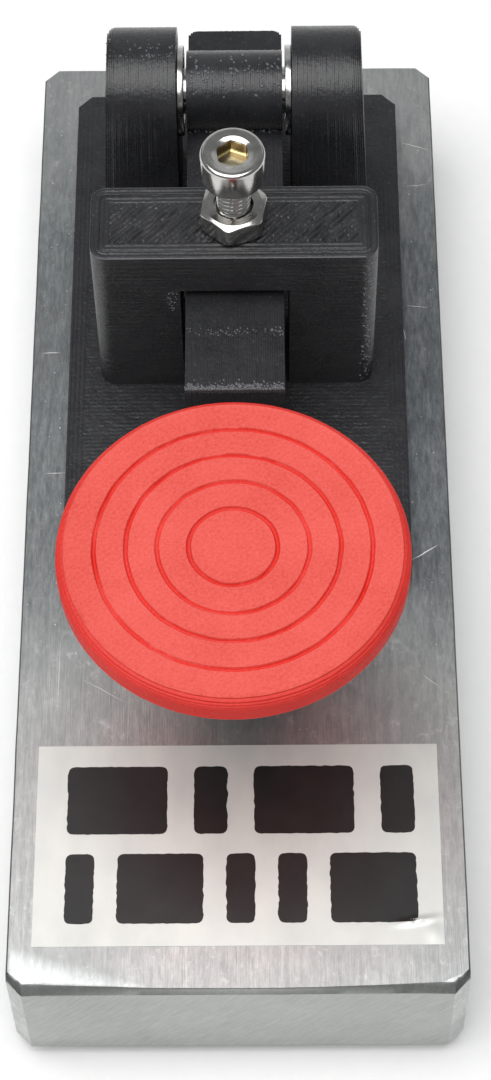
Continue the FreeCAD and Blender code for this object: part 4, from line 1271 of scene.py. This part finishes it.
def build_camera():
    """Looks down 59 degrees at the key from in front, as a long lens held a little askew."""
    place, lens, sensor = Vector((2.80, -134.25, 227.48)), 92.93, 36.0
    pitch, yaw, roll = math.radians(59.03), math.radians(-0.935), math.radians(-1.233)
    forward = Vector((math.sin(yaw) * math.cos(pitch), math.cos(yaw) * math.cos(pitch), -math.sin(pitch)))
    right = Vector((math.cos(yaw), -math.sin(yaw), 0.0))
    up = right.cross(forward)
    tilted_right = right * math.cos(roll) + up * math.sin(roll)
    tilted_up = up * math.cos(roll) - right * math.sin(roll)
    turn = Matrix((tilted_right, tilted_up, -forward)).transposed()
    data = bpy.data.cameras.new("camera")
    data.sensor_width = sensor
    data.lens = lens
    data.clip_start = 0.01
    data.clip_end = 20.0
    camera = place_object("camera", data)
    camera.matrix_world = Matrix.Translation(place * MM) @ turn.to_4x4()
    bpy.context.scene.camera = camera


def soft_light(name, azimuth, elevation, distance, size, power, twist=0.0):
    """Soft box aimed at the key. Azimuth 0 is in front of it, positive to its right; twist turns the box."""
    a, e = math.radians(azimuth), math.radians(elevation)
    toward = Vector((math.sin(a) * math.cos(e), -math.cos(a) * math.cos(e), math.sin(e)))
    level = (Vector((1.0, 0.0, 0.0)) - toward * toward.x).normalized()
    across = Matrix.Rotation(math.radians(twist), 3, toward) @ level
    turn = Matrix((across, toward.cross(across), toward)).transposed()
    data = bpy.data.lights.new(name, "AREA")
    data.shape = "RECTANGLE"
    data.size, data.size_y = size
    data.energy = power
    aim = Vector((0.0, 0.0, 0.02))
    light = place_object(name, data)
    light.matrix_world = Matrix.Translation(toward * distance + aim) @ turn.to_4x4()


def build_floor():
    recipe = Recipe("floor_paper", specular=0.2)
    fibre = recipe.noise(0.6, detail=3)
    recipe.colour(recipe.colours(fibre, [(0.3, (0.95, 0.95, 0.945)), (0.7, (0.97, 0.97, 0.96))]))
    recipe.roughness(recipe.spread(fibre, 0.3, 0.7, 0.85, 0.95))
    points, faces = patch((-2000, -2000), (2000, 2000), 20, 20, lambda x, y: 0.0)
    mesh = bpy.data.meshes.new("floor")
    mesh.from_pydata([(x * MM, y * MM, z) for x, y, z in points], [], faces)
    mesh.materials.append(recipe.material)
    floor = place_object("floor", mesh)


def build_world(strength):
    world = bpy.data.worlds.new("studio")
    bpy.context.scene.world = world
    world.use_nodes = True
    background = world.node_tree.nodes["Background"]
    background.inputs["Color"].default_value = (0.95, 0.97, 1.0, 1.0)
    background.inputs["Strength"].default_value = strength


# -------------------------------------------------------------------- assembly

SCREW_SPOTS = ((-8.95, 12.65), (8.95, 12.65), (-8.7, 31.8), (8.7, 31.8))
KNOB_SPOT = middle_of("knob_screw")
CONTACT_Y = middle_of("moving_contact_stud")[1]

black = black_print("black_print")
# Pale grey plastic for the blobs and the bridge's front bead: its paleness is painted glints and a painted
# edge highlight.
pale = black_print("painted_glint_grey", tone=0.105, gloss=(0.16, 0.24), grit=0.3)
smooth_black = black_print("black_print_walls", tone=0.021, gloss=(0.23, 0.31), grit=0.6, glint_amount=0.7)
stainless = metal("stainless", (0.66, 0.65, 0.62), (0.50, 0.49, 0.47), 0.14)

build_bar(brushed_aluminium())
build_scratches(metal("nick_bright", (0.95, 0.95, 0.94), (0.88, 0.88, 0.88), 0.35))
build_feet(plastic("foot_rubber", (0.018, 0.018, 0.018), (0.034, 0.034, 0.033), 0.62, 0.02))
build_plate(black)
build_post("left_post_shell", "left_post", -1, smooth_black)
build_post("right_post_shell", "right_post", 1, smooth_black)
build_bridge(black, pale)
build_lever(smooth_black)
build_specks(pale)
build_spring(stainless)
build_hinge(metal("race_steel", (0.60, 0.60, 0.58), (0.46, 0.46, 0.45), 0.17))
build_knob(red_print(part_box("knob")[1].z / MM))
# The gap screw's socket gets painted shade on its upper walls and a painted pale gold reflection below them.
build_gap_screw(metal("socket_painted_light", (0.66, 0.65, 0.62), (0.50, 0.49, 0.47), 0.14,
                      painted_socket_light=(middle_of("gap_screw")[1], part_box("gap_screw")[1].z / MM, 1.5,
                             (0.13, 0.09, 0.05), (0.86, 0.77, 0.48))))
build_nut("lock_nut_shape", "gap_lock_nut", "lock_nut", stainless, 80)
build_nut("fixed_nut_shape", "fixed_contact_nut", "frame", stainless)
build_nut("moving_nut_shape", "moving_contact_nut", "lever", stainless)
build_label(label_foil(), label_ink())
build_jack(plastic("jack_plastic_body", (0.012, 0.012, 0.012), (0.020, 0.020, 0.020), 0.30),
           metal("jack_plating", (0.74, 0.74, 0.73), (0.58, 0.58, 0.57), 0.16))

NODE_FINISHES = {
    "brass": metal("brass", (0.80, 0.62, 0.30), (0.62, 0.45, 0.20), 0.24),
    "steel": metal("steel", (0.62, 0.62, 0.60), (0.45, 0.45, 0.44), 0.20),
    "bearing_steel": metal("bearing_steel", (0.80, 0.80, 0.80), (0.68, 0.68, 0.68), 0.12),
    "jack_plastic": plastic("jack_plastic", (0.012, 0.012, 0.012), (0.020, 0.020, 0.020), 0.30),
    "red_insulation": plastic("red_insulation", (0.45, 0.015, 0.012), (0.55, 0.03, 0.02), 0.32),
    "black_insulation": plastic("black_insulation", (0.014, 0.014, 0.014), (0.024, 0.024, 0.024), 0.34),
}
for part in frame["record"]["subparts"]:
    node = frame["nodes"].get(part["node"])
    finish = NODE_FINISHES.get(part["material_slot"])
    if node is not None and finish is not None:
        node.data.materials.clear()
        node.data.materials.append(finish)

bpy.context.scene.view_settings.view_transform = "Standard"
build_world(0.21)
build_floor()
soft_light("overhead", -37, 76.7, 0.75, (0.84, 0.70), 7.0, twist=-20)
soft_light("back_wall", 180, 30, 1.2, (1.6, 0.7), 1.15)
soft_light("horizon_glow", 180, 6, 1.2, (1.8, 0.26), 0.7)
build_camera()
